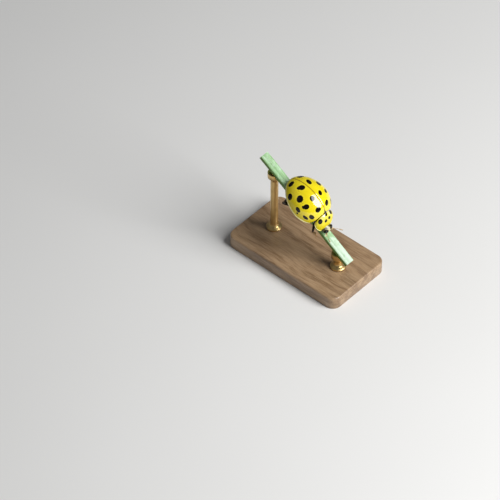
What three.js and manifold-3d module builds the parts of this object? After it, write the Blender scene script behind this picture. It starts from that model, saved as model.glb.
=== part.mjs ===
// A 22-spot ladybird walking head-down along a short cut length of leaf stalk,
// held over a small wooden base by two brass rods. Millimetres, +Z up.
//
// The ladybird is modelled in its own frame: X towards its head, Y to its left, Z out of its back,
// with the origin on the stalk's axis below the middle of its body. One tilted group then turns
// the insect and the stalk head-down together.

import * as THREE from 'three';
import { mergeVertices } from 'three/addons/utils/BufferGeometryUtils.js';
import Module from 'manifold-3d';

const wasm = await Module();
wasm.setup();

// ---------------------------------------------------------------- driving dimensions

const SLOPE = THREE.MathUtils.degToRad(33.8); // how far the stalk points down, towards the head
const ROLL = THREE.MathUtils.degToRad(2.9); // how far the insect leans round the stalk, to its right
const GAP = 0.03; // clearance between neighbouring pieces
const FAR = 3; // beyond every part of the insect

const STEM = {
  radius: 0.335,
  halfLength: 4.3,
  sides: 24,
  height: 4.2, // of the stalk's middle above the floor
};

const STAND = {
  length: 9,
  width: 5,
  thickness: 0.9,
  cornerRadius: 0.5,
  bevel: 0.12,
  rodRadius: 0.25,
  rodSides: 16,
  rodReach: 3.2, // along the stalk, from its middle to each rod
  footRadius: 0.5,
  footHeight: 0.14,
  cradleRadius: 0.44,
  cradleHeight: 0.62,
  cradleGrip: 0.12, // how far each cradle rises past the stalk's lowest line
};

const ELYTRA = {
  widestX: -0.23,
  frontReach: 1.44,
  rearReach: 1.87,
  halfWidth: 1.38,
  outlinePower: 1.95,
  crownX: -0.3,
  crown: 1.2, // height of the back above the side margin
  marginZ: 0.81,
  marginRise: 0.02, // how much the margin rises by the shoulders and the apex,
  marginReach: 1.75, // this far from the crown
  sidePower: 0.51,
  frontPower: 0.44,
  rearPower: 0.66,
  rimFlare: 0.005, // how far the side rim rolls out, as a share of the outline
  rimHeight: 0.14, // how soon that roll dies out, as a share of the crown
  shoulderDip: 0.1, // how far the wing cases bend down to meet the pronotum
  shoulderX: 0.55, // where that bend starts
  baseX: 0.9, // where they end at the middle of the back
  baseRadius: 4,
  columns: 44,
  rows: 10,
};

const FLAT_UNDERSIDE = 0.02; // thickness of a shell's underside below its margin

const CORE = {
  columns: 28,
  rows: 6,
  centreX: -0.48,
  frontReach: 1.38,
  rearReach: 1.22,
  halfWidth: 1.0,
  marginZ: 0.84,
  top: 0.56,
  bottom: 0.4,
  waistX: -0.36, // where thorax and abdomen part
};

const PRONOTUM = {
  centreX: 1.175,
  reach: 0.54,
  halfWidth: 0.785,
  outlinePower: 2.02,
  marginZ: 0.845, // at centreX
  slope: 0.74, // fall of the whole shield for each millimetre forward
  crown: 0.56,
  crownPower: 0.6,
  frontX: 1.62, // front edge on the midline
  frontRadius: 2.7,
  columns: 30,
  rows: 7,
};

const PROTHORAX = { x: 1.16, z: 0.66, length: 0.46, halfWidth: 0.54, halfHeight: 0.25 };

const SCUTELLUM = {
  tipX: 0.7,
  flareX: 1.2, // where the wedge that cuts it ends, well ahead of the wing cases
  flareHalfWidth: 0.3,
  underZ: 1.24,
  depth: 1,
};

const HEAD = {
  x: 1.55,
  z: 0.565,
  reach: 0.36,
  halfWidth: 0.36,
  halfHeight: 0.19,
  outlinePower: 2.6, // blunter than an ellipse, with the eyes at its front corners
  columns: 24,
  rows: 5,
};
const CLYPEUS = { x: 1.8, z: 0.5, reach: 0.14, halfWidth: 0.19, halfHeight: 0.12 };
const EYE = { x: 1.8, y: 0.24, z: 0.615, length: 0.16, width: 0.105, height: 0.13, turn: 1.15 };
const MOUTH = { x: 1.87, z: 0.43, reach: 0.1, halfWidth: 0.16, halfHeight: 0.07 };
const PALP = {
  baseX: 1.87,
  baseY: 0.17,
  baseZ: 0.42,
  baseRadius: 0.07,
  tipX: 1.95,
  tipY: 0.35,
  tipZ: 0.38,
  tipRadius: 0.09,
};

const ANTENNA = {
  shaftRadius: 0.1,
  clubRadius: 0.14,
  sides: 8,
};

// Where each feeler leaves the head, bends and ends.
const ANTENNA_POSES = {
  left: { base: [1.86, 0.24, 0.55], bend: [2.15, 0.52, 0.54], tip: [2.46, 0.72, 0.46] },
  right: { base: [1.86, -0.24, 0.55], bend: [2.1, -0.42, 0.53], tip: [2.4, -0.46, 0.48] },
};

const LEG = {
  sides: 10,
  femurHip: 0.23, // radii along the leg, hip to toe
  femurKnee: 0.2,
  tibiaKnee: 0.19,
  tibiaAnkle: 0.17,
  tarsusAnkle: 0.17,
  tarsusToe: 0.15,
};

// Hip, knee, ankle and toe of each right leg; the left ones mirror them, moved along by a step.
const LEG_POSES = {
  front: {
    hip: [1.06, -0.36, 0.4],
    knee: [1.36, -0.76, 0.22],
    ankle: [1.5, -0.6, 0.02],
    toe: [1.7, -0.6, -0.08],
    step: 0.12,
  },
  middle: {
    hip: [0.42, -0.34, 0.38],
    knee: [0.34, -0.78, 0.34],
    ankle: [0.2, -0.56, -0.02],
    toe: [-0.02, -0.46, -0.14],
    step: 0.2,
  },
  hind: {
    hip: [-0.3, -0.34, 0.38],
    knee: [-1.12, -1.14, 0.4],
    ankle: [-1.28, -0.58, 0.1],
    toe: [-1.54, -0.44, 0.02],
    step: -0.1,
  },
};

// ---------------------------------------------------------------- solids and meshes

/** Turns a closed three.js geometry into a solid that can be cut and joined. */
function toSolid(geometry) {
  const bare = geometry.clone();
  bare.deleteAttribute('normal');
  bare.deleteAttribute('uv');
  const merged = mergeVertices(bare, 1e-5);
  const mesh = new wasm.Mesh({
    numProp: 3,
    vertProperties: new Float32Array(merged.attributes.position.array),
    triVerts: new Uint32Array(merged.index.array),
  });
  mesh.merge();
  return new wasm.Manifold(mesh);
}

/** Turns a solid back into a three.js geometry. */
function toGeometry(solid) {
  const mesh = solid.getMesh();
  const geometry = new THREE.BufferGeometry();
  geometry.setAttribute('position', new THREE.BufferAttribute(mesh.vertProperties, 3));
  geometry.setIndex(new THREE.BufferAttribute(mesh.triVerts, 1));
  return geometry;
}

/** Takes every solid in the list away from the first one. */
function cut(solid, ...others) {
  return others.reduce((left, other) => left.subtract(other), solid);
}

/** A named mesh of one solid or geometry, with a plain material. */
function piece(name, shape, colour, roughness = 0.5, metalness = 0) {
  const geometry = shape.isBufferGeometry ? shape : toGeometry(shape);
  const material = new THREE.MeshStandardMaterial({ color: colour, roughness, metalness });
  const mesh = new THREE.Mesh(geometry, material);
  mesh.name = name;
  return mesh;
}

/**
 * Moves every vertex of a unit ball, poles up and down, to where shape(x, y, z) says.
 * The ball has rows steps above its widest line and fewer below, where shells are flat.
 */
function shapedBall(columns, rows, rowsBelow, shape) {
  const profile = [];
  for (let row = -rowsBelow; row <= rows; row += 1) {
    const angle = (row / (row < 0 ? rowsBelow : rows)) * Math.PI / 2;
    const radius = Math.abs(row) === (row < 0 ? rowsBelow : rows) ? 0 : Math.cos(angle);
    profile.push(new THREE.Vector2(radius, Math.sin(angle)));
  }
  const geometry = new THREE.LatheGeometry(profile, columns);
  geometry.rotateX(Math.PI / 2);
  const position = geometry.attributes.position;
  for (let i = 0; i < position.count; i += 1) {
    const moved = shape(position.getX(i), position.getY(i), position.getZ(i));
    position.setXYZ(i, moved.x, moved.y, moved.z);
  }
  return toSolid(geometry);
}

/** An ellipsoid, turned about the vertical before it is moved into place. */
function ellipsoid(centre, radii, { columns = 16, rows = 8, turn = 0 } = {}) {
  const geometry = new THREE.SphereGeometry(1, columns, rows);
  geometry.rotateX(Math.PI / 2);
  geometry.scale(...radii);
  geometry.rotateZ(turn);
  geometry.translate(...centre);
  return toSolid(geometry);
}

/** A round-ended tapered rod between two points. */
function rod(from, to, fromRadius, toRadius, sides = LEG.sides) {
  const start = new THREE.Vector3(...from);
  const axis = new THREE.Vector3(...to).sub(start);
  const length = axis.length();
  const slant = Math.SQRT1_2;
  const profile = [
    new THREE.Vector2(0, -fromRadius),
    new THREE.Vector2(fromRadius * slant, -fromRadius * slant),
    new THREE.Vector2(fromRadius, 0),
    new THREE.Vector2(toRadius, length),
    new THREE.Vector2(toRadius * slant, length + toRadius * slant),
    new THREE.Vector2(0, length + toRadius),
  ];
  const geometry = new THREE.LatheGeometry(profile, sides);
  const upright = new THREE.Vector3(0, 1, 0);
  geometry.applyQuaternion(new THREE.Quaternion().setFromUnitVectors(upright, axis.normalize()));
  geometry.translate(start.x, start.y, start.z);
  return toSolid(geometry);
}

/** A box between two corners. */
function box(low, high) {
  const size = high.map((value, axis) => value - low[axis]);
  const geometry = new THREE.BoxGeometry(...size);
  geometry.translate(...high.map((value, axis) => (value + low[axis]) / 2));
  return toSolid(geometry);
}

/** An upright cylinder through the whole height of the insect. */
function column(x, radius, sides = 96) {
  const geometry = new THREE.CylinderGeometry(radius, radius, 2 * FAR, sides);
  geometry.rotateX(Math.PI / 2);
  geometry.translate(x, 0, 0);
  return toSolid(geometry);
}

// ---------------------------------------------------------------- the stalk

const STEM_COLOUR = 0x8fb96a;

/** The stalk along X, fatter by grow. */
function stemGeometry(grow = 0) {
  const radius = STEM.radius + grow;
  const geometry = new THREE.CylinderGeometry(radius, radius, 2 * STEM.halfLength, STEM.sides);
  geometry.rotateZ(Math.PI / 2);
  return geometry;
}

const stemClearance = toSolid(stemGeometry(GAP));

// ---------------------------------------------------------------- body shapes

/** Signed power, which keeps a superellipse's four quarters apart. */
function signedPower(value, power) {
  return Math.sign(value) * Math.abs(value) ** power;
}

/** Height of the wing cases' lower margin at x. */
function marginHeight(x) {
  return ELYTRA.marginZ + ELYTRA.marginRise * ((x - ELYTRA.crownX) / ELYTRA.marginReach) ** 2;
}

/** The whole domed back, as one solid, before it is parted into wing cases. */
function backDome() {
  return shapedBall(ELYTRA.columns, ELYTRA.rows, 1, (sx, sy, sz) => {
    const angle = Math.atan2(sy, sx);
    const spread = Math.min(1, Math.hypot(sx, sy));
    const power = 2 / ELYTRA.outlinePower;
    const reach = sx > 0 ? ELYTRA.frontReach : ELYTRA.rearReach;
    const rim = 1 + ELYTRA.rimFlare * Math.exp(-Math.max(sz, 0) / ELYTRA.rimHeight);
    const x = ELYTRA.widestX + rim * spread * reach * signedPower(Math.cos(angle), power);
    const y = rim * spread * ELYTRA.halfWidth * signedPower(Math.sin(angle), power);
    const endPower = sx > 0 ? ELYTRA.frontPower : ELYTRA.rearPower;
    const along = Math.cos(angle) ** 2;
    const rise = 2 * THREE.MathUtils.lerp(ELYTRA.sidePower, endPower, along);
    const dip = ELYTRA.shoulderDip * THREE.MathUtils.smoothstep(x, ELYTRA.shoulderX, ELYTRA.baseX);
    const height = sz > 0 ? (ELYTRA.crown - dip) * sz ** rise : FLAT_UNDERSIDE * sz;
    return new THREE.Vector3(x, y, marginHeight(x) + height);
  });
}

/** Thorax and abdomen together under the wing cases, fatter by grow. */
function coreBody(grow = 0) {
  return shapedBall(CORE.columns, CORE.rows, CORE.rows, (sx, sy, sz) => {
    const reach = (sx > 0 ? CORE.frontReach : CORE.rearReach) + grow;
    const tall = (sz > 0 ? CORE.top : CORE.bottom) + grow;
    const x = CORE.centreX + reach * sx;
    const lift = marginHeight(x) - ELYTRA.marginZ;
    return new THREE.Vector3(x, (CORE.halfWidth + grow) * sy, CORE.marginZ + lift + tall * sz);
  });
}

/** The pronotum's shield shape, before its back and front edges are cut. */
function shield() {
  return shapedBall(PRONOTUM.columns, PRONOTUM.rows, 1, (sx, sy, sz) => {
    const angle = Math.atan2(sy, sx);
    const spread = Math.min(1, Math.hypot(sx, sy));
    const power = 2 / PRONOTUM.outlinePower;
    const x = PRONOTUM.centreX + spread * PRONOTUM.reach * signedPower(Math.cos(angle), power);
    const y = spread * PRONOTUM.halfWidth * signedPower(Math.sin(angle), power);
    const margin = PRONOTUM.marginZ - PRONOTUM.slope * (x - PRONOTUM.centreX);
    const rise = PRONOTUM.crown * Math.abs(sz) ** (2 * PRONOTUM.crownPower);
    return new THREE.Vector3(x, y, margin + (sz > 0 ? rise : FLAT_UNDERSIDE * sz));
  });
}

/** A triangular prism for the scutellum, wider by grow. */
function scutellumPrism(grow = 0) {
  const outline = new THREE.Shape();
  const halfWidth = SCUTELLUM.flareHalfWidth + 2 * grow;
  outline.moveTo(SCUTELLUM.tipX - 2 * grow, 0);
  outline.lineTo(SCUTELLUM.flareX, -halfWidth);
  outline.lineTo(SCUTELLUM.flareX, halfWidth);
  outline.closePath();
  const geometry = new THREE.ExtrudeGeometry(outline, { depth: SCUTELLUM.depth, bevelEnabled: false });
  geometry.translate(0, 0, SCUTELLUM.underZ - grow);
  return toSolid(geometry);
}

// ---------------------------------------------------------------- shell and body pieces

const dome = backDome();
const coreClearance = coreBody(GAP);
const behindBase = column(ELYTRA.baseX + ELYTRA.baseRadius, ELYTRA.baseRadius + GAP / 2);
const aheadOfBase = column(ELYTRA.baseX + ELYTRA.baseRadius, ELYTRA.baseRadius - GAP / 2);

const elytra = cut(dome, coreClearance, behindBase, scutellumPrism(GAP));
const elytronLeft = elytra.intersect(box([-FAR, GAP / 2, -FAR], [FAR, FAR, FAR]));
const elytronRight = elytra.intersect(box([-FAR, -FAR, -FAR], [FAR, -GAP / 2, FAR]));
const scutellum = cut(dome.intersect(scutellumPrism()), coreClearance, behindBase);

const core = coreBody();
const thorax = core.intersect(box([CORE.waistX + GAP / 2, -FAR, -FAR], [ELYTRA.baseX, FAR, FAR]));
const abdomen = core.intersect(box([-FAR, -FAR, -FAR], [CORE.waistX - GAP / 2, FAR, FAR]));

/** The front part of the trunk, under the pronotum, fatter by grow. */
function prothoraxBody(grow = 0) {
  const { x, z, length, halfWidth, halfHeight } = PROTHORAX;
  return ellipsoid([x, 0, z], [length + grow, halfWidth + grow, halfHeight + grow]);
}

/** The head capsule with its clypeus, fatter by grow. */
function headBody(grow = 0) {
  const power = 2 / HEAD.outlinePower;
  const skull = shapedBall(HEAD.columns, HEAD.rows, HEAD.rows, (sx, sy, sz) => {
    const angle = Math.atan2(sy, sx);
    const spread = Math.min(1, Math.hypot(sx, sy));
    const x = HEAD.x + (HEAD.reach + grow) * spread * signedPower(Math.cos(angle), power);
    const y = (HEAD.halfWidth + grow) * spread * signedPower(Math.sin(angle), power);
    return new THREE.Vector3(x, y, HEAD.z + (HEAD.halfHeight + grow) * sz);
  });
  const clypeus = ellipsoid(
    [CLYPEUS.x, 0, CLYPEUS.z],
    [CLYPEUS.reach + grow, CLYPEUS.halfWidth + grow, CLYPEUS.halfHeight + grow],
  );
  return skull.add(clypeus);
}

/** One eye; side is +1 on the left and -1 on the right. */
function eyeBody(side, grow = 0) {
  return ellipsoid(
    [EYE.x, side * EYE.y, EYE.z],
    [EYE.length + grow, EYE.width + grow, EYE.height + grow],
    { columns: 14, turn: -side * EYE.turn },
  );
}

const prothoraxFront = box([CORE.centreX + CORE.frontReach + GAP, -FAR, -FAR], [FAR, FAR, FAR]);
const prothorax = cut(prothoraxBody().intersect(prothoraxFront), headBody(GAP), stemClearance);
const head = cut(headBody(), eyeBody(1, GAP), eyeBody(-1, GAP), stemClearance);

const frontEdge = column(PRONOTUM.frontX + PRONOTUM.frontRadius, PRONOTUM.frontRadius);
const shieldFront = shield().intersect(aheadOfBase);
const pronotum = cut(shieldFront, frontEdge, prothoraxBody(GAP), headBody(GAP), coreClearance);

/** The labrum and jaws under the head's front edge, fatter by grow. */
function mouthBody(grow = 0) {
  const radii = [MOUTH.reach + grow, MOUTH.halfWidth + grow, MOUTH.halfHeight + grow];
  return ellipsoid([MOUTH.x, 0, MOUTH.z], radii);
}

const mouthparts = cut(mouthBody(), headBody(GAP), stemClearance);

// ---------------------------------------------------------------- feelers, palps and legs

/** A feeler's shaft and club joined into one bent body, fatter by grow. */
function antennaBody({ base, bend, tip }, grow = 0) {
  const shaftRadius = ANTENNA.shaftRadius + grow;
  const shaft = rod(base, bend, shaftRadius, shaftRadius, ANTENNA.sides);
  const club = rod(bend, tip, shaftRadius, ANTENNA.clubRadius + grow, ANTENNA.sides);
  return shaft.add(club);
}

/** A feeler in front of its eye. */
function antenna(pose) {
  return cut(antennaBody(pose), headBody(GAP), eyeBody(1, GAP), eyeBody(-1, GAP), stemClearance);
}

/** A palp beside the mouth, under its feeler. */
function palp(side, antennaPose) {
  const from = [PALP.baseX, side * PALP.baseY, PALP.baseZ];
  const to = [PALP.tipX, side * PALP.tipY, PALP.tipZ];
  const whole = rod(from, to, PALP.baseRadius, PALP.tipRadius, ANTENNA.sides);
  return cut(whole, headBody(GAP), mouthBody(GAP), antennaBody(antennaPose, GAP), stemClearance);
}

/** The three segments of one leg, each cut clear of the one above it. */
function legSegments(pose, side) {
  const shift = side > 0 ? pose.step : 0;
  const place = ([x, y, z], stride) => [x + stride, -side * y, z];
  const hip = place(pose.hip, 0);
  const knee = place(pose.knee, shift);
  const ankle = place(pose.ankle, shift);
  const toe = place(pose.toe, shift);
  const femur = (grow) => rod(hip, knee, LEG.femurHip + grow, LEG.femurKnee + grow);
  const tibia = (grow) => rod(knee, ankle, LEG.tibiaKnee + grow, LEG.tibiaAnkle + grow);
  const tarsus = rod(ankle, toe, LEG.tarsusAnkle, LEG.tarsusToe);
  const trunk = coreClearance.add(prothoraxBody(GAP));
  return {
    femur: cut(femur(0), trunk, stemClearance),
    tibia: cut(tibia(0), femur(GAP), trunk, stemClearance),
    tarsus: cut(tarsus, tibia(GAP), femur(GAP), stemClearance),
  };
}

// ---------------------------------------------------------------- the ladybird

const YELLOW = 0xe8d21a;
const YELLOW_UNDER = 0xb8a430;
const BLACK = 0x14100c;
const CREAM = 0xe6dcb4;
const LEG_BROWN = 0x6b4a1e;

const ladybird = new THREE.Group();
ladybird.add(
  piece('elytron_left', elytronLeft, YELLOW, 0.2),
  piece('elytron_right', elytronRight, YELLOW, 0.2),
  piece('scutellum', scutellum, BLACK, 0.3),
  piece('pronotum', pronotum, YELLOW, 0.25),
  piece('prothorax', prothorax, YELLOW_UNDER),
  piece('thorax', thorax, BLACK),
  piece('abdomen', abdomen, YELLOW_UNDER),
  piece('head', head, CREAM, 0.35),
  piece('mouthparts', mouthparts, LEG_BROWN),
  piece('eye_left', eyeBody(1), BLACK, 0.15),
  piece('eye_right', eyeBody(-1), BLACK, 0.15),
  piece('antenna_left', antenna(ANTENNA_POSES.left), LEG_BROWN),
  piece('antenna_right', antenna(ANTENNA_POSES.right), LEG_BROWN),
  piece('palp_left', palp(1, ANTENNA_POSES.left), LEG_BROWN),
  piece('palp_right', palp(-1, ANTENNA_POSES.right), LEG_BROWN),
);

for (const [pair, pose] of Object.entries(LEG_POSES)) {
  for (const [sideName, side] of [['left', 1], ['right', -1]]) {
    for (const [segment, solid] of Object.entries(legSegments(pose, side))) {
      ladybird.add(piece(`leg_${pair}_${sideName}_${segment}`, solid, LEG_BROWN));
    }
  }
}

// ---------------------------------------------------------------- perch and stand

const perch = piece('perch_stem', stemGeometry(), STEM_COLOUR, 0.6);

ladybird.rotation.x = ROLL;

const walk = new THREE.Group();
walk.position.z = STEM.height;
walk.rotation.y = SLOPE;
walk.add(ladybird, perch);

/** The wooden base: a rounded rectangle with a bevelled edge, flat on the floor. */
function baseGeometry() {
  const x = STAND.length / 2 - STAND.bevel;
  const y = STAND.width / 2 - STAND.bevel;
  const r = STAND.cornerRadius;
  const outline = new THREE.Shape();
  outline.moveTo(-x + r, -y);
  outline.lineTo(x - r, -y);
  outline.absarc(x - r, -y + r, r, -Math.PI / 2, 0);
  outline.absarc(x - r, y - r, r, 0, Math.PI / 2);
  outline.absarc(-x + r, y - r, r, Math.PI / 2, Math.PI);
  outline.absarc(-x + r, -y + r, r, Math.PI, 1.5 * Math.PI);
  const geometry = new THREE.ExtrudeGeometry(outline, {
    depth: STAND.thickness - 2 * STAND.bevel,
    bevelThickness: STAND.bevel,
    bevelSize: STAND.bevel,
    bevelSegments: 1,
    curveSegments: 5,
  });
  geometry.translate(0, 0, STAND.bevel);
  return geometry;
}

/** A brass rod with a foot and a cradle that hugs the stalk; along is its place on the stalk. */
function standRod(along) {
  const x = along * Math.cos(SLOPE);
  const stemAxisZ = STEM.height - along * Math.sin(SLOPE);
  const bottom = STAND.thickness + GAP;
  const top = stemAxisZ - STEM.radius / Math.cos(SLOPE) + STAND.cradleGrip;
  const neck = top - STAND.cradleHeight;
  const profile = [
    [0, bottom],
    [STAND.footRadius, bottom],
    [STAND.footRadius, bottom + STAND.footHeight],
    [STAND.rodRadius, bottom + 2 * STAND.footHeight],
    [STAND.rodRadius, neck],
    [STAND.cradleRadius, neck + STAND.cradleRadius - STAND.rodRadius],
    [STAND.cradleRadius, top],
    [0, top],
  ].map(([radius, height]) => new THREE.Vector2(radius, height));
  const geometry = new THREE.LatheGeometry(profile, STAND.rodSides);
  geometry.rotateX(Math.PI / 2);
  geometry.translate(x, 0, 0);
  const stem = stemGeometry(GAP);
  stem.rotateY(SLOPE);
  stem.translate(0, 0, STEM.height);
  return cut(toSolid(geometry), toSolid(stem));
}

const BRASS = 0xc8a24a;
const WOOD = 0xa1825f;

const stand = new THREE.Group();
stand.add(
  piece('stand_base', baseGeometry(), WOOD, 0.4),
  piece('stand_rod_upper', standRod(-STAND.rodReach), BRASS, 0.3, 1),
  piece('stand_rod_lower', standRod(STAND.rodReach), BRASS, 0.3, 1),
);

const model = new THREE.Group();
model.add(walk, stand);

export default model;
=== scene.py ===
"""Looks of a life-size museum model: a 22-spot ladybird on a cut leaf stalk over a wooden base.

The insect is shaped in its own frame in millimetres: X towards the head, Y to its left, Z out of
its back, with the origin on the stalk's axis. One matrix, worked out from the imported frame, then
puts every mesh in its place in metres.
"""

import logging
import math
import random
from dataclasses import dataclass
from enum import Enum
from typing import Callable, Union

import bmesh
import bpy
from mathutils import Matrix, Quaternion, Vector


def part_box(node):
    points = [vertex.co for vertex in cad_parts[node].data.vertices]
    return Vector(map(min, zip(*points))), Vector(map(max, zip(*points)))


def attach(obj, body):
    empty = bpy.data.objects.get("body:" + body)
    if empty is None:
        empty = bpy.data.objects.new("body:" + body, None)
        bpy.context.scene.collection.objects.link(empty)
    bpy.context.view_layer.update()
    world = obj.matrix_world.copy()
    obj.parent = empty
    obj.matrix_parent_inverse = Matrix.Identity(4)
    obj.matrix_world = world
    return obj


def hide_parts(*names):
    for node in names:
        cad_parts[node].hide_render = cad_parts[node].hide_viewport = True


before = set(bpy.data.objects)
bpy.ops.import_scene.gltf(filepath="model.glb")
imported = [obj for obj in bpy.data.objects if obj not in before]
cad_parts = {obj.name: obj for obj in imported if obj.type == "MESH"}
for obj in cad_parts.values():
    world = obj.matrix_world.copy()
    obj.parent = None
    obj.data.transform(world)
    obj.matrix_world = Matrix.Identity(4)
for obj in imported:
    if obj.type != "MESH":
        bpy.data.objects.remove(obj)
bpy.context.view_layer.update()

LOG = logging.getLogger("ladybird")

MM = 0.001
SLOPE = math.radians(33.8)  # how far the stalk points down, towards the head
ROLL = math.radians(2.9)  # how far the insect leans round the stalk
HEAD_TURN = math.radians(8)  # how far the head looks to its left
HEAD_PIVOT = Vector((1.8, 0, 0))
HEAD_SHIFT = Vector((0.02, -0.02, 0))
GAP = 0.03  # clearance between neighbouring pieces, in mm
MERGE = 1e-5  # points closer than this become one, in mm

Shape = bmesh.types.BMesh
Material = bpy.types.Material
Colour = tuple[float, float, float]
Pairs = tuple[tuple[float, float], ...]


def middle_of(node: str) -> Vector:
    """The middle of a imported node's box, in metres."""
    low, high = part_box(node)
    return (Vector(low) + Vector(high)) / 2


STALK_MIDDLE = middle_of("perch_stem")
STALK_PLACE = Matrix.Translation(STALK_MIDDLE) @ Matrix.Rotation(SLOPE, 4, "Y") @ Matrix.Scale(MM, 4)
BODY_PLACE = STALK_PLACE @ Matrix.Rotation(ROLL, 4, "X")
HEAD_PLACE = (
    BODY_PLACE @ Matrix.Translation(HEAD_PIVOT + HEAD_SHIFT) @ Matrix.Rotation(HEAD_TURN, 4, "Z")
    @ Matrix.Translation(-HEAD_PIVOT)
)
WORLD_PLACE = Matrix.Scale(MM, 4)


class Slot(Enum):
    """The record's material slots."""

    WING_CASE = "wing_case_yellow"
    PRONOTUM = "pronotum_yellow"
    SHELL = "shell_black"
    UNDERSIDE = "underside_brown"
    HEAD = "head_cream"
    EYE = "eye_black"
    LEG = "leg_brown"
    STALK = "stalk_green"
    WOOD = "base_wood"
    BRASS = "rod_brass"


class Side(Enum):
    """The two sides of the insect, each with its sign along Y."""

    LEFT = 1
    RIGHT = -1

    @property
    def word(self) -> str:
        """The side's name in lower case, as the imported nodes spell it."""
        return self.name.lower()


# ---------------------------------------------------------------- small shared maths


def smoothstep(value: float, low: float, high: float) -> float:
    """Smooth ramp from 0 at low to 1 at high."""
    share = min(1.0, max(0.0, (value - low) / (high - low)))
    return share * share * (3 - 2 * share)


def bell(value: float, middle: float, width: float) -> float:
    """Smooth bump of height 1 round a middle."""
    return math.exp(-(((value - middle) / width) ** 2))


def lerp(start: float, end: float, share: float) -> float:
    """Straight blend from start to end."""
    return start + (end - start) * share


def signed_power(value: float, power: float) -> float:
    """Power of a number's size, with its sign kept."""
    return math.copysign(abs(value) ** power, value)


def solve(rises: Callable[[float], float], low: float, high: float) -> float:
    """Finds where a rising function crosses zero, by halving the range.

    Args:
        rises: a function that only rises between low and high.
        low: lower end of the range.
        high: upper end of the range.

    Returns:
        The place in the range, or its upper end where zero is never reached.
    """
    for _ in range(26):
        middle = (low + high) / 2
        if rises(middle) < 0:
            low = middle
        else:
            high = middle
    return high


# ---------------------------------------------------------------- shaping helpers


def sheet(
    columns: int, rows: int, move: Callable[[float, float], tuple], inside: Vector,
    marks: tuple[str, ...] = (),
) -> Shape:
    """A grid whose points are moved to where a formula says, with its faces turned outwards.

    Args:
        columns: number of faces along the first direction.
        rows: number of faces along the second direction.
        move: gives a point's place and then its marks, from its two shares, each from 0 to 1.
        inside: a point that the faces look away from.
        marks: names of the numbers that each point carries.

    Returns:
        The open sheet.
    """
    shape = bmesh.new()
    bmesh.ops.create_grid(shape, x_segments=columns, y_segments=rows, size=0.5)
    layers = [shape.verts.layers.float.new(name) for name in marks]
    for vert in shape.verts:
        vert.co, *numbers = move(vert.co.x + 0.5, vert.co.y + 0.5)
        for layer, number in zip(layers, numbers):
            vert[layer] = number
    shape.normal_update()
    votes = (face.normal.dot(face.calc_center_median() - inside) * face.calc_area() for face in shape.faces)
    if sum(votes) < 0:
        bmesh.ops.reverse_faces(shape, faces=shape.faces)
    return shape


def ball(columns: int, rows: int, move: Callable[[Vector], Vector]) -> Shape:
    """A unit ball whose points are moved to where a formula says.

    Args:
        columns: faces round the ball.
        rows: faces from pole to pole; the poles lie along X.
        move: gives a point's place from its place on the unit ball.

    Returns:
        The closed shape.
    """
    shape = bmesh.new()
    bmesh.ops.create_uvsphere(shape, u_segments=columns, v_segments=rows, radius=1)
    bmesh.ops.rotate(shape, verts=shape.verts, matrix=Matrix.Rotation(math.pi / 2, 3, "Y"))
    for vert in shape.verts:
        vert.co = move(vert.co.normalized())
    bmesh.ops.recalc_face_normals(shape, faces=shape.faces)
    return shape


def turned(profile: list[tuple[float, float]], steps: int = 16) -> Shape:
    """A closed turned shape.

    Args:
        profile: pairs of radius and height, which start and end on the axis.
        steps: faces round the axis.

    Returns:
        The turned shape, upright along Z.
    """
    shape = bmesh.new()
    verts = [shape.verts.new((radius, 0, height)) for radius, height in profile]
    edges = [shape.edges.new(pair) for pair in zip(verts, verts[1:])]
    bmesh.ops.spin(
        shape, geom=verts + edges, cent=(0, 0, 0), axis=(0, 0, 1), angle=2 * math.pi, steps=steps,
        use_merge=True,
    )
    bmesh.ops.remove_doubles(shape, verts=shape.verts, dist=MERGE)
    bmesh.ops.recalc_face_normals(shape, faces=shape.faces)
    return shape


def swell(radius: float, *form: tuple[float, float]) -> list[tuple[float, float]]:
    """A run of thickness for a limb, from pairs of share along it and share of a radius."""
    return [(share, radius * factor) for share, factor in form]


def limb(
    start: Vector, end: Vector, widths: list[tuple[float, float]], flat: float = 1.0, steps: int = 14,
    roll: float = 0.0,
) -> Shape:
    """A round-ended limb between two points, with its own run of thickness.

    Args:
        start: middle of the near end.
        end: middle of the far end.
        widths: pairs of share along the limb and radius there, in mm, between the rounded ends.
        flat: how thick the limb is one way as a share of the other.
        steps: faces round the limb.
        roll: turn about its own axis, in radians.

    Returns:
        The closed limb.
    """
    axis = end - start
    length = axis.length
    first, last = widths[0][1], widths[-1][1]
    near, far = 0.5, 0.87  # sine and cosine of the two steps that round each end
    profile = [(0.0, -first), (first * near, -first * far), (first * far, -first * near)]
    profile += [(radius, share * length) for share, radius in widths]
    profile += [(last * far, length + last * near), (last * near, length + last * far), (0.0, length + last)]
    shape = turned(profile, steps)
    bmesh.ops.scale(shape, vec=(1, flat, 1), verts=shape.verts)
    turn = axis.to_track_quat("Z", "Y").to_matrix().to_4x4()
    place = Matrix.Translation(start) @ turn @ Matrix.Rotation(roll, 4, "Z")
    bmesh.ops.transform(shape, matrix=place, verts=shape.verts)
    return shape


def upright_edges(shape: Shape, least: float) -> list[bmesh.types.BMEdge]:
    """The edges that rise by more than a least height."""
    return [edge for edge in shape.edges if abs(edge.verts[0].co.z - edge.verts[1].co.z) > least]


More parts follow.
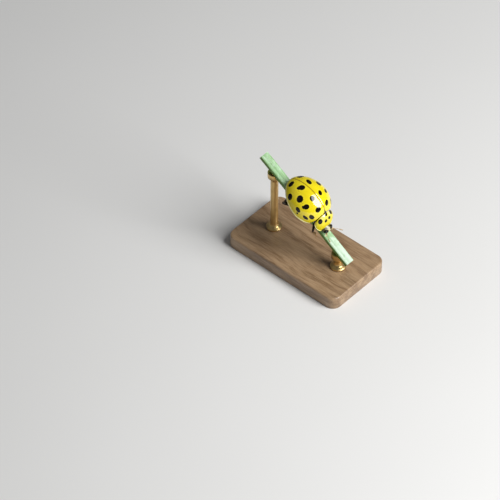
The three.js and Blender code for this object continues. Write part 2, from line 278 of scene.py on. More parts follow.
def spike(start: Vector, end: Vector, radius: float, bend: Vector = Vector(), sides: int = 5) -> Shape:
    """A fine tapered hair, claw or thorn.

    Args:
        start: middle of its root.
        end: its tip.
        radius: radius at the root.
        bend: how far its middle is pushed aside.
        sides: faces round it.

    Returns:
        The closed spike.
    """
    axis = end - start
    point = radius * 0.12
    shape = bmesh.new()
    bmesh.ops.create_cone(shape, cap_ends=True, segments=sides, radius1=radius, radius2=point, depth=1)
    bmesh.ops.translate(shape, verts=shape.verts, vec=(0, 0, 0.5))
    bmesh.ops.subdivide_edges(shape, edges=upright_edges(shape, 0.5), cuts=2, use_grid_fill=True)
    turn = axis.to_track_quat("Z", "Y").to_matrix()
    for vert in shape.verts:
        along = vert.co.z
        across = turn @ Vector((vert.co.x, vert.co.y, 0))
        vert.co = start + across + axis * along + bend * (4 * along * (1 - along))
    return shape


def soften(shape: Shape, edges: list[bmesh.types.BMEdge], width: float, segments: int) -> None:
    """Rounds some edges of a shape.

    Args:
        shape: the shape.
        edges: its edges to round.
        width: how far the rounding reaches on each side, in mm.
        segments: number of steps in the rounding.
    """
    bmesh.ops.bevel(
        shape, geom=edges, offset=width, offset_type="OFFSET", affect="EDGES", segments=segments, profile=0.5,
        material=-1,
    )


def join(parts: list[Shape]) -> Shape:
    """Puts several shapes into one and frees them.

    Args:
        parts: the shapes.

    Returns:
        One shape that holds them all.
    """
    whole = bmesh.new()
    for part in parts:
        keeper = bpy.data.meshes.new("part")
        part.to_mesh(keeper)
        part.free()
        whole.from_mesh(keeper)
        bpy.data.meshes.remove(keeper)
    return whole


def mirrored(shape: Shape, side: Side) -> Shape:
    """Gives a left-hand shape back as it is, or turned into a right-hand one.

    Args:
        shape: a shape made for the left side.
        side: the side wanted.

    Returns:
        The same shape, mirrored for the right side.
    """
    if side is Side.RIGHT:
        bmesh.ops.scale(shape, vec=(1, -1, 1), verts=shape.verts)
        bmesh.ops.reverse_faces(shape, faces=shape.faces)
    return shape


def make_piece(
    name: str, shape: Shape, place: Matrix, slot: Slot, finish: Material, nodes: list[str], wall: float = 0.0,
    sharp: float = 50.0,
) -> None:
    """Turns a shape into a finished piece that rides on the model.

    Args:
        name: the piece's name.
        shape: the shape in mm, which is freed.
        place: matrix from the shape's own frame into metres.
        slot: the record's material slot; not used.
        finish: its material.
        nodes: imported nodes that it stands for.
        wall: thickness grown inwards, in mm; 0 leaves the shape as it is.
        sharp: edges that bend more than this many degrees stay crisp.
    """
    bmesh.ops.remove_doubles(shape, verts=shape.verts, dist=MERGE)
    bmesh.ops.transform(shape, matrix=place, verts=shape.verts)
    mesh = bpy.data.meshes.new(name)
    shape.to_mesh(mesh)
    shape.free()
    mesh.shade_smooth()
    mesh.set_sharp_from_angle(angle=math.radians(sharp))
    mesh.materials.append(finish)
    piece = bpy.data.objects.new(name, mesh)
    bpy.context.scene.collection.objects.link(piece)
    if wall:
        solidify = piece.modifiers.new("wall", "SOLIDIFY")
        solidify.thickness = wall * MM
        solidify.offset = -1
        solidify.use_even_offset = True
    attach(piece, "root")
    if nodes:
        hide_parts(*nodes)
    LOG.info("%s: %d faces", name, len(mesh.polygons))


# ---------------------------------------------------------------- shader toolkit


class Wire:
    """One output socket whose arithmetic adds Math nodes."""

    def __init__(self, board: "Board", socket: bpy.types.NodeSocket) -> None:
        """Keeps the socket and the board that it belongs to."""
        self.board = board
        self.socket = socket

    def _math(self, operation: str, first: "Number", second: "Number") -> "Wire":
        """Adds one Math node."""
        return self.board.node("ShaderNodeMath", {"operation": operation}, {0: first, 1: second})

    def __add__(self, other: "Number") -> "Wire":
        """Sum."""
        return self._math("ADD", self, other)

    def __sub__(self, other: "Number") -> "Wire":
        """Difference."""
        return self._math("SUBTRACT", self, other)

    def __rsub__(self, other: "Number") -> "Wire":
        """Difference from a number."""
        return self._math("SUBTRACT", other, self)

    def __mul__(self, other: "Number") -> "Wire":
        """Product."""
        return self._math("MULTIPLY", self, other)

    __radd__ = __add__
    __rmul__ = __mul__

    def __abs__(self) -> "Wire":
        """Size without sign."""
        return self._math("ABSOLUTE", self, 0.0)

    def least(self, other: "Number") -> "Wire":
        """The smaller of the two."""
        return self._math("MINIMUM", self, other)

    def ramp(self, low: float, high: float) -> "Wire":
        """Smooth ramp, 0 at low and 1 at high, either way round.

        Args:
            low: value that gives 0.
            high: value that gives 1.

        Returns:
            The ramp's output.
        """
        start, end, zero, one = (low, high, 0.0, 1.0) if low < high else (high, low, 1.0, 0.0)
        return self.board.node(
            "ShaderNodeMapRange", {"interpolation_type": "SMOOTHSTEP"},
            {"Value": self, "From Min": start, "From Max": end, "To Min": zero, "To Max": one},
        )


Number = Union[Wire, float]
Value = Union[Wire, float, tuple]


class Board:
    """The node tree of one material, with the few nodes that every finish uses."""

    def __init__(self, name: str, place: Matrix) -> None:
        """Starts a node material with coordinates in its piece's own frame.

        Args:
            name: the material's name.
            place: matrix from the piece's own frame into metres.
        """
        self.material = bpy.data.materials.new(name)
        self.material.use_nodes = True
        self.tree = self.material.node_tree
        self.tree.nodes.clear()
        self.own = self.seat(self.node("ShaderNodeTexCoord", {}, {}, "Object"), place)

    def node(self, kind: str, settings: dict, sockets: dict, output: Union[int, str] = 0) -> Wire:
        """Adds one node.

        Args:
            kind: the node's type.
            settings: its own settings, which are set first.
            sockets: values or wires for its inputs, by name or number.
            output: the output that is wanted.

        Returns:
            That output.
        """
        new = self.tree.nodes.new(kind)
        for key, setting in settings.items():
            setattr(new, key, setting)
        for key, value in sockets.items():
            target = new.inputs[key]
            if isinstance(value, Wire):
                self.tree.links.new(value.socket, target)
            else:
                is_colour = target.type == "RGBA" and len(value) == 3
                target.default_value = (*value, 1.0) if is_colour else value
        return Wire(self, new.outputs[output])

    def seat(self, vector: Wire, place: Matrix) -> Wire:
        """Coordinates taken back into the frame that a matrix comes from.

        Args:
            vector: the coordinates.
            place: the frame's matrix.

        Returns:
            The coordinates in that frame.
        """
        return self.node("ShaderNodeMapping", {"vector_type": "TEXTURE"}, {
            "Vector": vector,
            "Location": tuple(place.to_translation()),
            "Rotation": tuple(place.to_euler()),
            "Scale": tuple(place.to_scale()),
        })

    def split(self, vector: Wire) -> tuple[Wire, Wire, Wire]:
        """The three numbers of a vector."""
        outputs = self.node("ShaderNodeSeparateXYZ", {}, {0: vector}).socket.node.outputs
        return Wire(self, outputs[0]), Wire(self, outputs[1]), Wire(self, outputs[2])

    def merge(self, x: Number, y: Number, z: Number) -> Wire:
        """A vector of three numbers."""
        return self.node("ShaderNodeCombineXYZ", {}, {0: x, 1: y, 2: z})

    def stretch(self, vector: Wire, scale: tuple[float, float, float]) -> Wire:
        """A vector with each number multiplied."""
        return self.node("ShaderNodeVectorMath", {"operation": "MULTIPLY"}, {0: vector, 1: scale})

    def noise(self, vector: Wire, scale: float, detail: float = 2.0, roughness: float = 0.5) -> Wire:
        """Soft noise from 0 to 1, with its fineness, its finer layers and their strength."""
        sockets = {"Vector": vector, "Scale": scale, "Detail": detail, "Roughness": roughness}
        return self.node("ShaderNodeTexNoise", {}, sockets)

    def cells(self, vector: Wire, scale: float) -> Wire:
        """Distance from the middle of the nearest of many scattered cells."""
        return self.node("ShaderNodeTexVoronoi", {}, {"Vector": vector, "Scale": scale}, "Distance")

    def mix(self, share: Number, first: Value, second: Value) -> Wire:
        """Blend of two colours, through its colour sockets: a share of 0 gives the first, 1 the second."""
        return self.node("ShaderNodeMix", {"data_type": "RGBA"}, {0: share, 6: first, 7: second}, 2)

    def attribute(self, name: str) -> Wire:
        """A number that the mesh carries at its points."""
        return self.node("ShaderNodeAttribute", {"attribute_name": name}, {}, "Fac")

    def bump(self, height: Wire, depth: float, strength: float) -> Wire:
        """Normal of a fine relief, from its height of 0 to 1, its depth in mm and the share that shows."""
        sockets = {"Height": height, "Distance": depth * MM, "Strength": strength}
        return self.node("ShaderNodeBump", {}, sockets)

    def finish(self, colour: Value, roughness: Number, normal: Wire | None, **others: Number) -> Material:
        """Closes the tree with its surface shader.

        Args:
            colour: colour or wire.
            roughness: number or wire.
            normal: relief, if it has any.
            others: other inputs, by socket name with _ for spaces.

        Returns:
            The finished material.
        """
        sockets = {"Base Color": colour, "Roughness": roughness}
        if normal is not None:
            sockets["Normal"] = normal
        sockets |= {key.replace("_", " "): number for key, number in others.items()}
        shader = self.node("ShaderNodeBsdfPrincipled", {}, sockets)
        out = self.tree.nodes.new("ShaderNodeOutputMaterial")
        self.tree.links.new(shader.socket, out.inputs["Surface"])
        return self.material


@dataclass(frozen=True)
class HornFinish:
    """Brown or black horn of the legs, jaws and feelers, satin and slightly mottled."""

    name: str
    colour: Colour
    light: Colour
    roughness: float = 0.34
    gloss: float = 0.35

    def dress(self) -> Material:
        """Builds the material.

        Returns:
            The finished material.
        """
        board = Board(self.name, BODY_PLACE)
        mottle = board.noise(board.own, 9.0, 3.0).ramp(0.3, 0.75)
        grain = board.noise(board.own, 60.0)
        colour = board.mix(mottle, self.colour, self.light)
        return board.finish(
            colour, self.roughness + grain * 0.1, board.bump(grain, 0.004, 0.5), Coat_Weight=self.gloss,
            Coat_Roughness=0.2, Specular_IOR_Level=self.gloss,
        )


# ---------------------------------------------------------------- the domed back


@dataclass(frozen=True)
class Dome:
    """A low dome over a rounded outline, from which a piece of shell is cut."""

    centre_x: float
    front_reach: float
    rear_reach: float
    half_width: float
    outline_power: float
    margin_z: float
    crown: float
    rim_room: float = 0.03  # plan kept free for the rolled rim, in mm

    def reach(self, x: float) -> float:
        """How far the outline reaches from its middle, on the side where x lies."""
        return self.front_reach if x > self.centre_x else self.rear_reach

    def height(self, x: float, toward_end: float, lift: float) -> float:
        """Height of a point, which each dome says in its own way.

        Args:
            x: place along the body.
            toward_end: 0 straight out to the side, 1 straight to the front or rear.
            lift: height on the unit ball, 0 at the margin and 1 at the crown.

        Returns:
            The height in mm.
        """
        raise NotImplementedError

    def point(self, unit: Vector) -> Vector:
        """Point of the dome that belongs to a point of the unit ball's upper half.

        Args:
            unit: the point on the unit ball.

        Returns:
            The point in mm.
        """
        angle = math.atan2(unit.y, unit.x)
        spread = min(1.0, math.hypot(unit.x, unit.y))
        power = 2 / self.outline_power
        reach = self.front_reach if unit.x > 0 else self.rear_reach
        narrow = 1 - spread * self.rim_room / self.half_width
        x = self.centre_x + narrow * spread * reach * signed_power(math.cos(angle), power)
        y = narrow * spread * self.half_width * signed_power(math.sin(angle), power)
        return Vector((x, y, self.height(x, math.cos(angle) ** 2, unit.z)))

    def surface(self, x: float, y: float) -> Vector:
        """Point of the dome above a place in plan.

        Args:
            x: the place along the body.
            y: the place across it.

        Returns:
            The point in mm.
        """
        power = self.outline_power
        along = (abs(x - self.centre_x) / self.reach(x)) ** power
        spread = min(0.999, (along + (abs(y) / self.half_width) ** power) ** (1 / power))
        toward_end = along / max(spread, 1e-6) ** power
        return Vector((x, y, self.height(x, toward_end, math.sqrt(1 - spread * spread))))


@dataclass(frozen=True)
class BackDome(Dome):
    """The dome that both wing cases share."""

    centre_x: float = -0.23
    front_reach: float = 1.44
    rear_reach: float = 1.87
    half_width: float = 1.38
    outline_power: float = 1.95
    margin_z: float = 0.81
    crown: float = 1.2
    crown_x: float = -0.3
    margin_rise: float = 0.02
    margin_reach: float = 1.75
    side_power: float = 0.51
    front_power: float = 0.44
    rear_power: float = 0.66
    shoulder_dip: float = 0.1
    shoulder_x: float = 0.55
    base_x: float = 0.9
    base_radius: float = 4.0

    def margin_height(self, x: float) -> float:
        """Height of the side margin at x."""
        return self.margin_z + self.margin_rise * ((x - self.crown_x) / self.margin_reach) ** 2

    def base_line(self, y: float) -> float:
        """How far forward the wing cases reach at y."""
        return self.base_x + self.base_radius - math.sqrt(self.base_radius ** 2 - y * y)

    def height(self, x: float, toward_end: float, lift: float) -> float:
        """Height of the back, which is steeper at the sides than at the rear.

        Args:
            x: place along the body.
            toward_end: 0 straight out to the side, 1 straight to the front or rear.
            lift: height on the unit ball, 0 at the margin and 1 at the crown.

        Returns:
            The height in mm.
        """
        end_power = self.front_power if x > self.centre_x else self.rear_power
        power = 2 * lerp(self.side_power, end_power, toward_end)
        dip = self.shoulder_dip * smoothstep(x, self.shoulder_x, self.base_x)
        return self.margin_height(x) + (self.crown - dip) * max(0.0, lift) ** power

    def outward(self, place: Vector) -> Vector:
        """Level direction of unit length straight out of the outline at a margin point."""
        ahead = (place.x - self.centre_x) / self.reach(place.x) ** 2
        return Vector((ahead, place.y / self.half_width ** 2, 0)).normalized()


def half_round(angle: float, across: float) -> Vector:
    """Point of the unit ball at an angle from the rear tip and an angle from the middle line."""
    round_x = math.sin(angle)
    return Vector((-math.cos(angle), round_x * math.sin(across), round_x * math.cos(across)))


@dataclass(frozen=True)
class Spot:
    """One dark spot, with its place in plan and its two half sizes in mm."""

    x: float
    y: float
    length: float
    width: float
    turn: float = 0.0  # degrees from the body's length towards its side

    def frame(self, surface: Callable[[float, float], Vector]) -> Matrix:
        """Matrix whose unit ball is the spot, seated on a surface.

        Args:
            surface: gives the surface's point above a place in plan.

        Returns:
            The matrix in the insect's frame.
        """
        step = 0.02
        centre = surface(self.x, self.y)
        ahead = surface(self.x + step, self.y) - surface(self.x - step, self.y)
        aside = surface(self.x, self.y + step) - surface(self.x, self.y - step)
        normal = ahead.cross(aside).normalized()
        level = (Vector((1, 0, 0)) - normal * normal.x).normalized()
        first = Quaternion(normal, math.radians(self.turn)) @ level
        turn = Matrix((first, normal.cross(first), normal)).transposed().to_4x4()
        deep = 3 * max(self.length, self.width)
        return Matrix.Translation(centre) @ turn @ Matrix.Diagonal((self.length, self.width, deep, 1))


RIGHT_CASE_SPOTS = (
    Spot(0.49, -0.43, 0.20, 0.175, -87),
    Spot(0.61, -0.90, 0.205, 0.155, -13),
    Spot(0.39, -1.16, 0.21, 0.118, -8),
    Spot(-0.29, -0.36, 0.18, 0.16, -35),
    Spot(-0.11, -0.92, 0.20, 0.165, 70),
    Spot(-0.17, -1.01, 0.15, 0.115, 45),  # the pointed end of the one before
    Spot(-0.29, -1.27, 0.20, 0.14, -10),
    Spot(-0.14, -1.345, 0.08, 0.06),
    Spot(-0.74, -0.89, 0.235, 0.215, -54),
    Spot(-1.23, -0.33, 0.22, 0.18, 52),
    Spot(-1.30, -0.44, 0.16, 0.13, 50),  # the pointed end of the one before
    Spot(-1.24, -1.07, 0.21, 0.19, -50),
    Spot(-1.83, -0.45, 0.23, 0.175, -77),
)

LEFT_CASE_SPOTS = (
    Spot(0.47, 0.36, 0.20, 0.155, -51),
    Spot(0.58, 0.90, 0.20, 0.14, 20),
    Spot(0.39, 1.17, 0.18, 0.11, 10),
    Spot(-0.26, 0.34, 0.18, 0.14, -29),
    Spot(-0.15, 0.89, 0.18, 0.14, -56),
    Spot(-0.30, 1.28, 0.19, 0.12, 8),
    Spot(-0.14, 1.345, 0.08, 0.06),
    Spot(-0.78, 0.87, 0.20, 0.19, -18),
    Spot(-1.23, 0.35, 0.24, 0.16, -33),
    Spot(-1.24, 1.06, 0.22, 0.17, 30),
    Spot(-1.83, 0.42, 0.23, 0.175, 66),
)

PRONOTUM_SPOTS = (
    Spot(1.16, -0.52, 0.185, 0.145, -40),
    Spot(1.33, -0.16, 0.125, 0.105, -14),
    Spot(1.30, 0.16, 0.135, 0.10, 41),
    Spot(1.07, 0.455, 0.175, 0.14, 54),
    Spot(0.96, -0.01, 0.17, 0.10),
)


@dataclass(frozen=True)
class ShellFinish:
    """Glossy spotted shell, yellow over pale edges; the pale edges and the cream patch are partly painted
    highlight.
    """

    name: str
    spots: tuple[Spot, ...]
    surface: Callable[[float, float], Vector]
    yellow: Colour = (0.82, 0.66, 0.006)
    deep_yellow: Colour = (0.70, 0.52, 0.004)
    halo: Colour = (0.90, 0.75, 0.035)
    pale: Colour = (0.86, 0.80, 0.42)
    cream: Colour = (0.84, 0.75, 0.26)
    dark: Colour = (0.004, 0.0012, 0.001)
    suture: Colour = (0.34, 0.19, 0.008)
    # The cream patch beside the middle at the hind edge is partly the shield's own pale tone and partly a
    # painted broad highlight.
    pale_back_sheen: float = 0.0  # how far the hind part beside the middle pales
    back_x: tuple[float, float] = (1.28, 1.10)  # where it starts to pale and is palest
    back_y: float = 0.29  # its distance from the middle line
    wobble: float = 0.035  # how far a spot's edge wanders, in mm
    soft: float = 0.06  # softness of a spot's edge, as a share of its size
    halo_reach: tuple[float, float] = (1.55, 1.1)  # of the pale ring, in sizes of its spot
    dull_spots: float = 0.5  # share of the gloss that the spots lack
    dull_flank: float = 0.6  # share of the gloss that the flanks lack
    flank_heights: tuple[float, float] = (1.45, 0.85)  # where the gloss starts and ends to fade

    def nearest_spot(self, board: Board, x: Wire, y: Wire, z: Wire) -> Wire:
        """Distance from the nearest spot's middle, in sizes of that spot.

        Args:
            board: the material's board.
            x: place along the body.
            y: place across it.
            z: height.

        Returns:
            The distance, with wandering edges.
        """
        drift = board.noise(board.own, 7.0)
        drift_aside = board.noise(board.stretch(board.own, (1, -1, 1)), 6.0)
        sway = 2 * self.wobble
        seat = board.merge(x + (drift - 0.5) * sway, y + (drift_aside - 0.5) * sway, z)
        nearest: Wire | None = None
        for spot in self.spots:
            local = board.seat(seat, spot.frame(self.surface))
            away = board.node("ShaderNodeVectorMath", {"operation": "LENGTH"}, {0: local}, "Value")
            nearest = away if nearest is None else nearest.least(away)
        return nearest

    def dress(self) -> Material:
        """Builds the material.

        Returns:
            The finished material.
        """
        board = Board(self.name, BODY_PLACE)
        x, y, z = board.split(board.own)
        nearest = self.nearest_spot(board, x, y, z)
        spot_mask = nearest.ramp(1 + self.soft, 1 - self.soft)
        patchy = board.noise(board.own, 2.2, 3.0).ramp(0.3, 0.7)
        colour = board.mix(patchy * 0.35, self.yellow, self.deep_yellow)
        colour = board.mix(nearest.ramp(*self.halo_reach) * 0.45, colour, self.halo)
        # Cream patch beside the middle near the hind edge: partly the shield's own pale tone, partly a
        # painted broad highlight.
        beside = abs(abs(y) - self.back_y).ramp(0.26, 0.08)
        wavy_x = x + board.noise(board.own, 7.0) * 0.1
        colour = board.mix(beside * wavy_x.ramp(*self.back_x) * self.pale_back_sheen, colour, self.cream)
        colour = board.mix(board.attribute("seam") * 0.95, colour, self.suture)
        # Pale rim mark: the rolled edges' own paler colour, and on the wing cases partly a painted highlight.
        colour = board.mix(board.attribute("rim") * 0.85, colour, self.pale)
        colour = board.mix(spot_mask, colour, self.dark)
        pits = board.cells(board.own, 24.0).ramp(0.0, 0.34)
        relief = board.bump(pits * 0.75 + board.noise(board.own, 14.0) * 0.25, 0.005, 0.6)
        gloss = (1 - spot_mask * self.dull_spots) * (1 - z.ramp(*self.flank_heights) * self.dull_flank)
        return board.finish(
            colour, 0.22 + pits * -0.04 + patchy * 0.05, relief, Coat_Weight=gloss, Coat_Roughness=0.06,
            Coat_IOR=1.8, Specular_IOR_Level=0.0,
        )


@dataclass
class WingCases:
    """The two wing cases, with their rolled rims and the seam between them."""

    dome: BackDome = BackDome()
    columns: int = 120
    disc_rows: int = 62
    row_power: float = 1.2  # above 1 the rows crowd together at the seam
    seam_gap: float = 0.004
    seam_depth: float = 0.014
    seam_reach: float = 0.03
    shoulder_y: float = 0.40  # where the front edge starts to round back
    shoulder_end: float = 0.82
    shoulder_round: float = 0.09
    corner_y: float = 0.62  # where it starts to round into the side margin
    corner_end: float = 0.93
    corner_round: float = 0.13
    # The pale band that starts here is a painted highlight along the margin, not the margin's own colour.
    pale_sheen_start: float = 1.5  # angle from the seam where the pale margin starts
    pale_sheen_end: float = 1.565
    pale_sheen_share: float = 0.5
    front_curl: float = 0.035
    wall: float = 0.045
    rim: Pairs = (  # outward and downward steps of the rolled rim
        (0.006, 0.012), (0.013, 0.021), (0.020, 0.024), (0.026, 0.021), (0.031, 0.022), (0.034, 0.030),
        (0.034, 0.044), (0.028, 0.056), (0.012, 0.062), (-0.015, 0.062), (-0.07, 0.054), (-0.15, 0.042),
        (-0.24, 0.03),
    )

    def past_front(self, angle: float, across: float) -> float:
        """How far a point lies past the front edge, which rounds back at the shoulder and the corner.

        Args:
            angle: the point's angle along the unit ball, from the rear tip.
            across: its angle from the seam.

        Returns:
            The distance in mm, below 0 behind the edge.
        """
        place = self.dome.point(half_round(angle, across))
        past_shoulder = (abs(place.y) - self.shoulder_y) / (self.shoulder_end - self.shoulder_y)
        rounding = self.shoulder_round * min(1.0, max(0.0, past_shoulder)) ** 2
        past_corner = (abs(place.y) - self.corner_y) / (self.corner_end - self.corner_y)
        rounding += self.corner_round * min(1.0, max(0.0, past_corner)) ** 3
        return place.x - self.dome.base_line(place.y) + rounding + GAP / 2

    def shell(self) -> Shape:
        """The left wing case as an open sheet.

        Returns:
            The sheet, with its rim and seam marked at each point.
        """
        rows = self.disc_rows + len(self.rim)
        discs = [min(row, self.disc_rows) / self.disc_rows for row in range(rows + 1)]
        turns = [math.pi / 2 * disc ** self.row_power for disc in discs]
        limits = [solve(lambda angle: self.past_front(angle, turn), math.pi / 2, math.pi) for turn in turns]

        def move(along: float, across: float) -> tuple[Vector, float, float]:
            """Place of one grid point.

            Args:
                along: share of the way from the rear tip to the front edge.
                across: share of the way from the seam to the inner end of the rim.

            Returns:
                The place in mm and the marks of the rim and the seam.
            """
            row = round(across * rows)
            place = self.dome.point(half_round(along * limits[row], turns[row]))
            # Painted highlight: a pale band just inside the margin; in the rim rows the pale is partly the
            # rim's own translucent colour and partly painted highlight.
            rim_pale_and_sheen = smoothstep(turns[row], self.pale_sheen_start, self.pale_sheen_end) * self.pale_sheen_share
            if row > self.disc_rows:
                push, drop = self.rim[row - self.disc_rows - 1]
                end = lerp(1.0, 0.15, smoothstep(along, 0.88, 1.0))
                fade = lerp(0.3, 1.0, smoothstep(along, 0.2, 0.55)) * end
                place += self.dome.outward(place) * push * fade
                place.z -= drop * end
                rim_pale_and_sheen = max(self.pale_sheen_share, smoothstep(push, -0.2, 0.03))
            seam = bell(place.y, 0.0, self.seam_reach)
            place.z -= self.seam_depth * seam + self.front_curl * smoothstep(along, 0.975, 1.0) ** 2
            place.y += self.seam_gap
            return place, rim_pale_and_sheen, seam

        return sheet(self.columns, rows, move, Vector((-0.3, 0.5, 0.6)), ("rim", "seam"))

    def build(self) -> None:
        """Makes both wing cases."""
        for side, spots in ((Side.LEFT, LEFT_CASE_SPOTS), (Side.RIGHT, RIGHT_CASE_SPOTS)):
            finish = ShellFinish(f"wing_case_shell_{side.word}", spots, self.dome.surface).dress()
            shape = mirrored(self.shell(), side)
            node = f"elytron_{side.word}"
            make_piece(f"wing_case_{side.word}", shape, BODY_PLACE, Slot.WING_CASE, finish, [node], self.wall)


@dataclass
class Scutellum:
    """The small dark wedge between the wing cases' bases."""

    dome: BackDome = BackDome()
    tip_x: float = 0.70
    half_width: float = 0.15
    sink: float = 0.012
    edge_drop: float = 0.03
    wall: float = 0.04

    def build(self) -> None:
        """Makes the wedge."""

        def move(along: float, across: float) -> tuple[Vector]:
            """Place of one grid point.

            Args:
                along: share of the way from the tip to the base.
                across: share of the way from one side to the other.

            Returns:
                The place in mm.
            """
            aside = 2 * across - 1
            place = self.dome.surface(
                lerp(self.tip_x, self.dome.base_x + GAP, along), aside * self.half_width * along,
            )
            place.z -= self.sink + self.edge_drop * (aside ** 6 * along + (1 - along) ** 8)
            return (place,)

        shape = sheet(16, 16, move, Vector((0.8, 0, 0.5)))
        finish = HornFinish("scutellum_black", (0.012, 0.006, 0.004), (0.03, 0.018, 0.008)).dress()
        make_piece("scutellum_wedge", shape, BODY_PLACE, Slot.SHELL, finish, ["scutellum"], self.wall)


@dataclass(frozen=True)
class Shield(Dome):
    """The sloping dome of the pronotum."""

    centre_x: float = 1.175
    front_reach: float = 0.54
    rear_reach: float = 0.54
    half_width: float = 0.785
    outline_power: float = 2.02
    margin_z: float = 0.845
    crown: float = 0.56
    crown_power: float = 0.6
    slope: float = 0.74
    front_x: float = 1.62
    front_radius: float = 2.7

    def height(self, x: float, toward_end: float, lift: float) -> float:
        """Height of the shield, which rises the same way all round."""
        rise = self.crown * max(0, lift) ** (2 * self.crown_power)
        return self.margin_z - self.slope * (x - self.centre_x) + rise

    def front_line(self, y: float) -> float:
        """Where its front edge lies at y."""
        return self.front_x + self.front_radius - math.sqrt(self.front_radius ** 2 - y * y)


@dataclass
class Pronotum:
    """The spotted shield over the front of the trunk, with its pale rolled rim."""

    dome: BackDome = BackDome()
    shield: Shield = Shield()
    columns: int = 64
    disc_rows: int = 72
    wall: float = 0.04
    rim: Pairs = (  # outward and downward steps of the rolled side rim
        (0.008, 0.004), (0.018, 0.006), (0.026, 0.010), (0.030, 0.020), (0.026, 0.032), (0.012, 0.040),
        (-0.02, 0.042), (-0.07, 0.036), (-0.13, 0.02),
    )
    hind_y: float = 0.5  # where the rear edge starts to round forward
    hind_round: float = 0.05
    front_curl: float = 0.045
    yellow: Colour = (0.76, 0.62, 0.010)
    deep_yellow: Colour = (0.64, 0.49, 0.006)

    def past_rear(self, angle: float, across: float) -> float:
        """How far a point lies ahead of the rear edge, which follows the wing cases.

        Args:
            angle: the point's angle along the unit ball, from the rear.
            across: its angle from the middle line.

        Returns:
            The distance in mm, below 0 behind the edge.
        """
        place = self.shield.point(half_round(angle, across))
        past_hind = max(0.0, abs(place.y) - self.hind_y) / (self.shield.half_width - self.hind_y)
        return place.x - self.dome.base_line(place.y) - self.hind_round * past_hind ** 2 - GAP / 2

    def past_front(self, angle: float, across: float) -> float:
        """How far a point, given by its two angles, lies past the front edge."""
        place = self.shield.point(half_round(angle, across))
        return place.x - self.shield.front_line(place.y)

    def build(self) -> None:
        """Makes the shield."""
        side_rows = len(self.rim)
        rows = self.disc_rows + 2 * side_rows
        inner = [min(max(row - side_rows, 0), self.disc_rows) for row in range(rows + 1)]
        discs = [2 * row / self.disc_rows - 1 for row in inner]
        turns = [math.pi / 2 * math.sin(disc * math.pi / 2) for disc in discs]
        rears = [solve(lambda angle: self.past_rear(angle, turn), 0.0, math.pi / 2) for turn in turns]
        fronts = [solve(lambda angle: self.past_front(angle, turn), math.pi / 2, math.pi) for turn in turns]

        def move(along: float, across: float) -> tuple[Vector, float, float]:
            """Place of one grid point.

            Args:
                along: share of the way from the rear edge to the front edge.
                across: share of the way from one side's rim to the other's.

            Returns:
                The place in mm and the marks of the rim and the seam.
            """
            row = round(across * rows)
            place = self.shield.point(half_round(lerp(rears[row], fronts[row], along), turns[row]))
            edge = smoothstep(abs(discs[row]), 0.84, 1.0) * 0.6
            step = max(side_rows - row, row - side_rows - self.disc_rows)
            if step > 0:
                push, drop = self.rim[step - 1]
                fade = lerp(0.3, 1.0, smoothstep(min(along, 1 - along), 0.0, 0.15))
                outward = Vector(((place.x - self.shield.centre_x) * 2, place.y, 0)).normalized()
                place += outward * push * fade
                place.z -= drop
                edge = lerp(1.0, 0.45, smoothstep(along, 0.7, 1.0))
            edge = max(edge, smoothstep(along, 0.93, 1.0) * 0.75)
            curl = smoothstep(along, 0.96, 1.0) ** 2 + 0.4 * smoothstep(along, 0.03, 0.0) ** 2
            place.z -= self.front_curl * curl
            return place, edge, smoothstep(along, 0.02, 0.0) * 0.5

        shape = sheet(self.columns, rows, move, Vector((1.1, 0, 0.5)), ("rim", "seam"))
        # Its cream patch near the hind middle is partly a painted broad highlight.
        finish = ShellFinish(
            "pronotum_shell", PRONOTUM_SPOTS, self.shield.surface, self.yellow, self.deep_yellow,
            pale_back_sheen=0.75, wobble=0.02,
        ).dress()
        make_piece("pronotum_shield", shape, BODY_PLACE, Slot.PRONOTUM, finish, ["pronotum"], self.wall)


# ---------------------------------------------------------------- trunk and head


@dataclass(frozen=True)
class TrunkFinish:
    """Dark horny underside, paler towards the sides of the belly."""

    dark: Colour = (0.022, 0.012, 0.006)
    brown: Colour = (0.16, 0.085, 0.02)
    yellow: Colour = (0.42, 0.30, 0.05)

    def dress(self) -> Material:
        """Builds the material.

        Returns:
            The finished material.
        """
        board = Board("trunk_horn", BODY_PLACE)
        x, y, _ = board.split(board.own)
        mottle = board.noise(board.own, 6.0, 3.0)
        belly = x.ramp(0.0, -0.7)
        flank = (abs(y) + mottle * 0.3).ramp(0.5, 0.95)
        colour = board.mix(belly * 0.55 + flank * 0.3, self.dark, self.brown)
        colour = board.mix(belly * flank, colour, self.yellow)
        pits = board.cells(board.own, 20.0).ramp(0.0, 0.3)
        return board.finish(colour, 0.36 + mottle * 0.12, board.bump(pits, 0.005, 0.6), Coat_Weight=0.3)


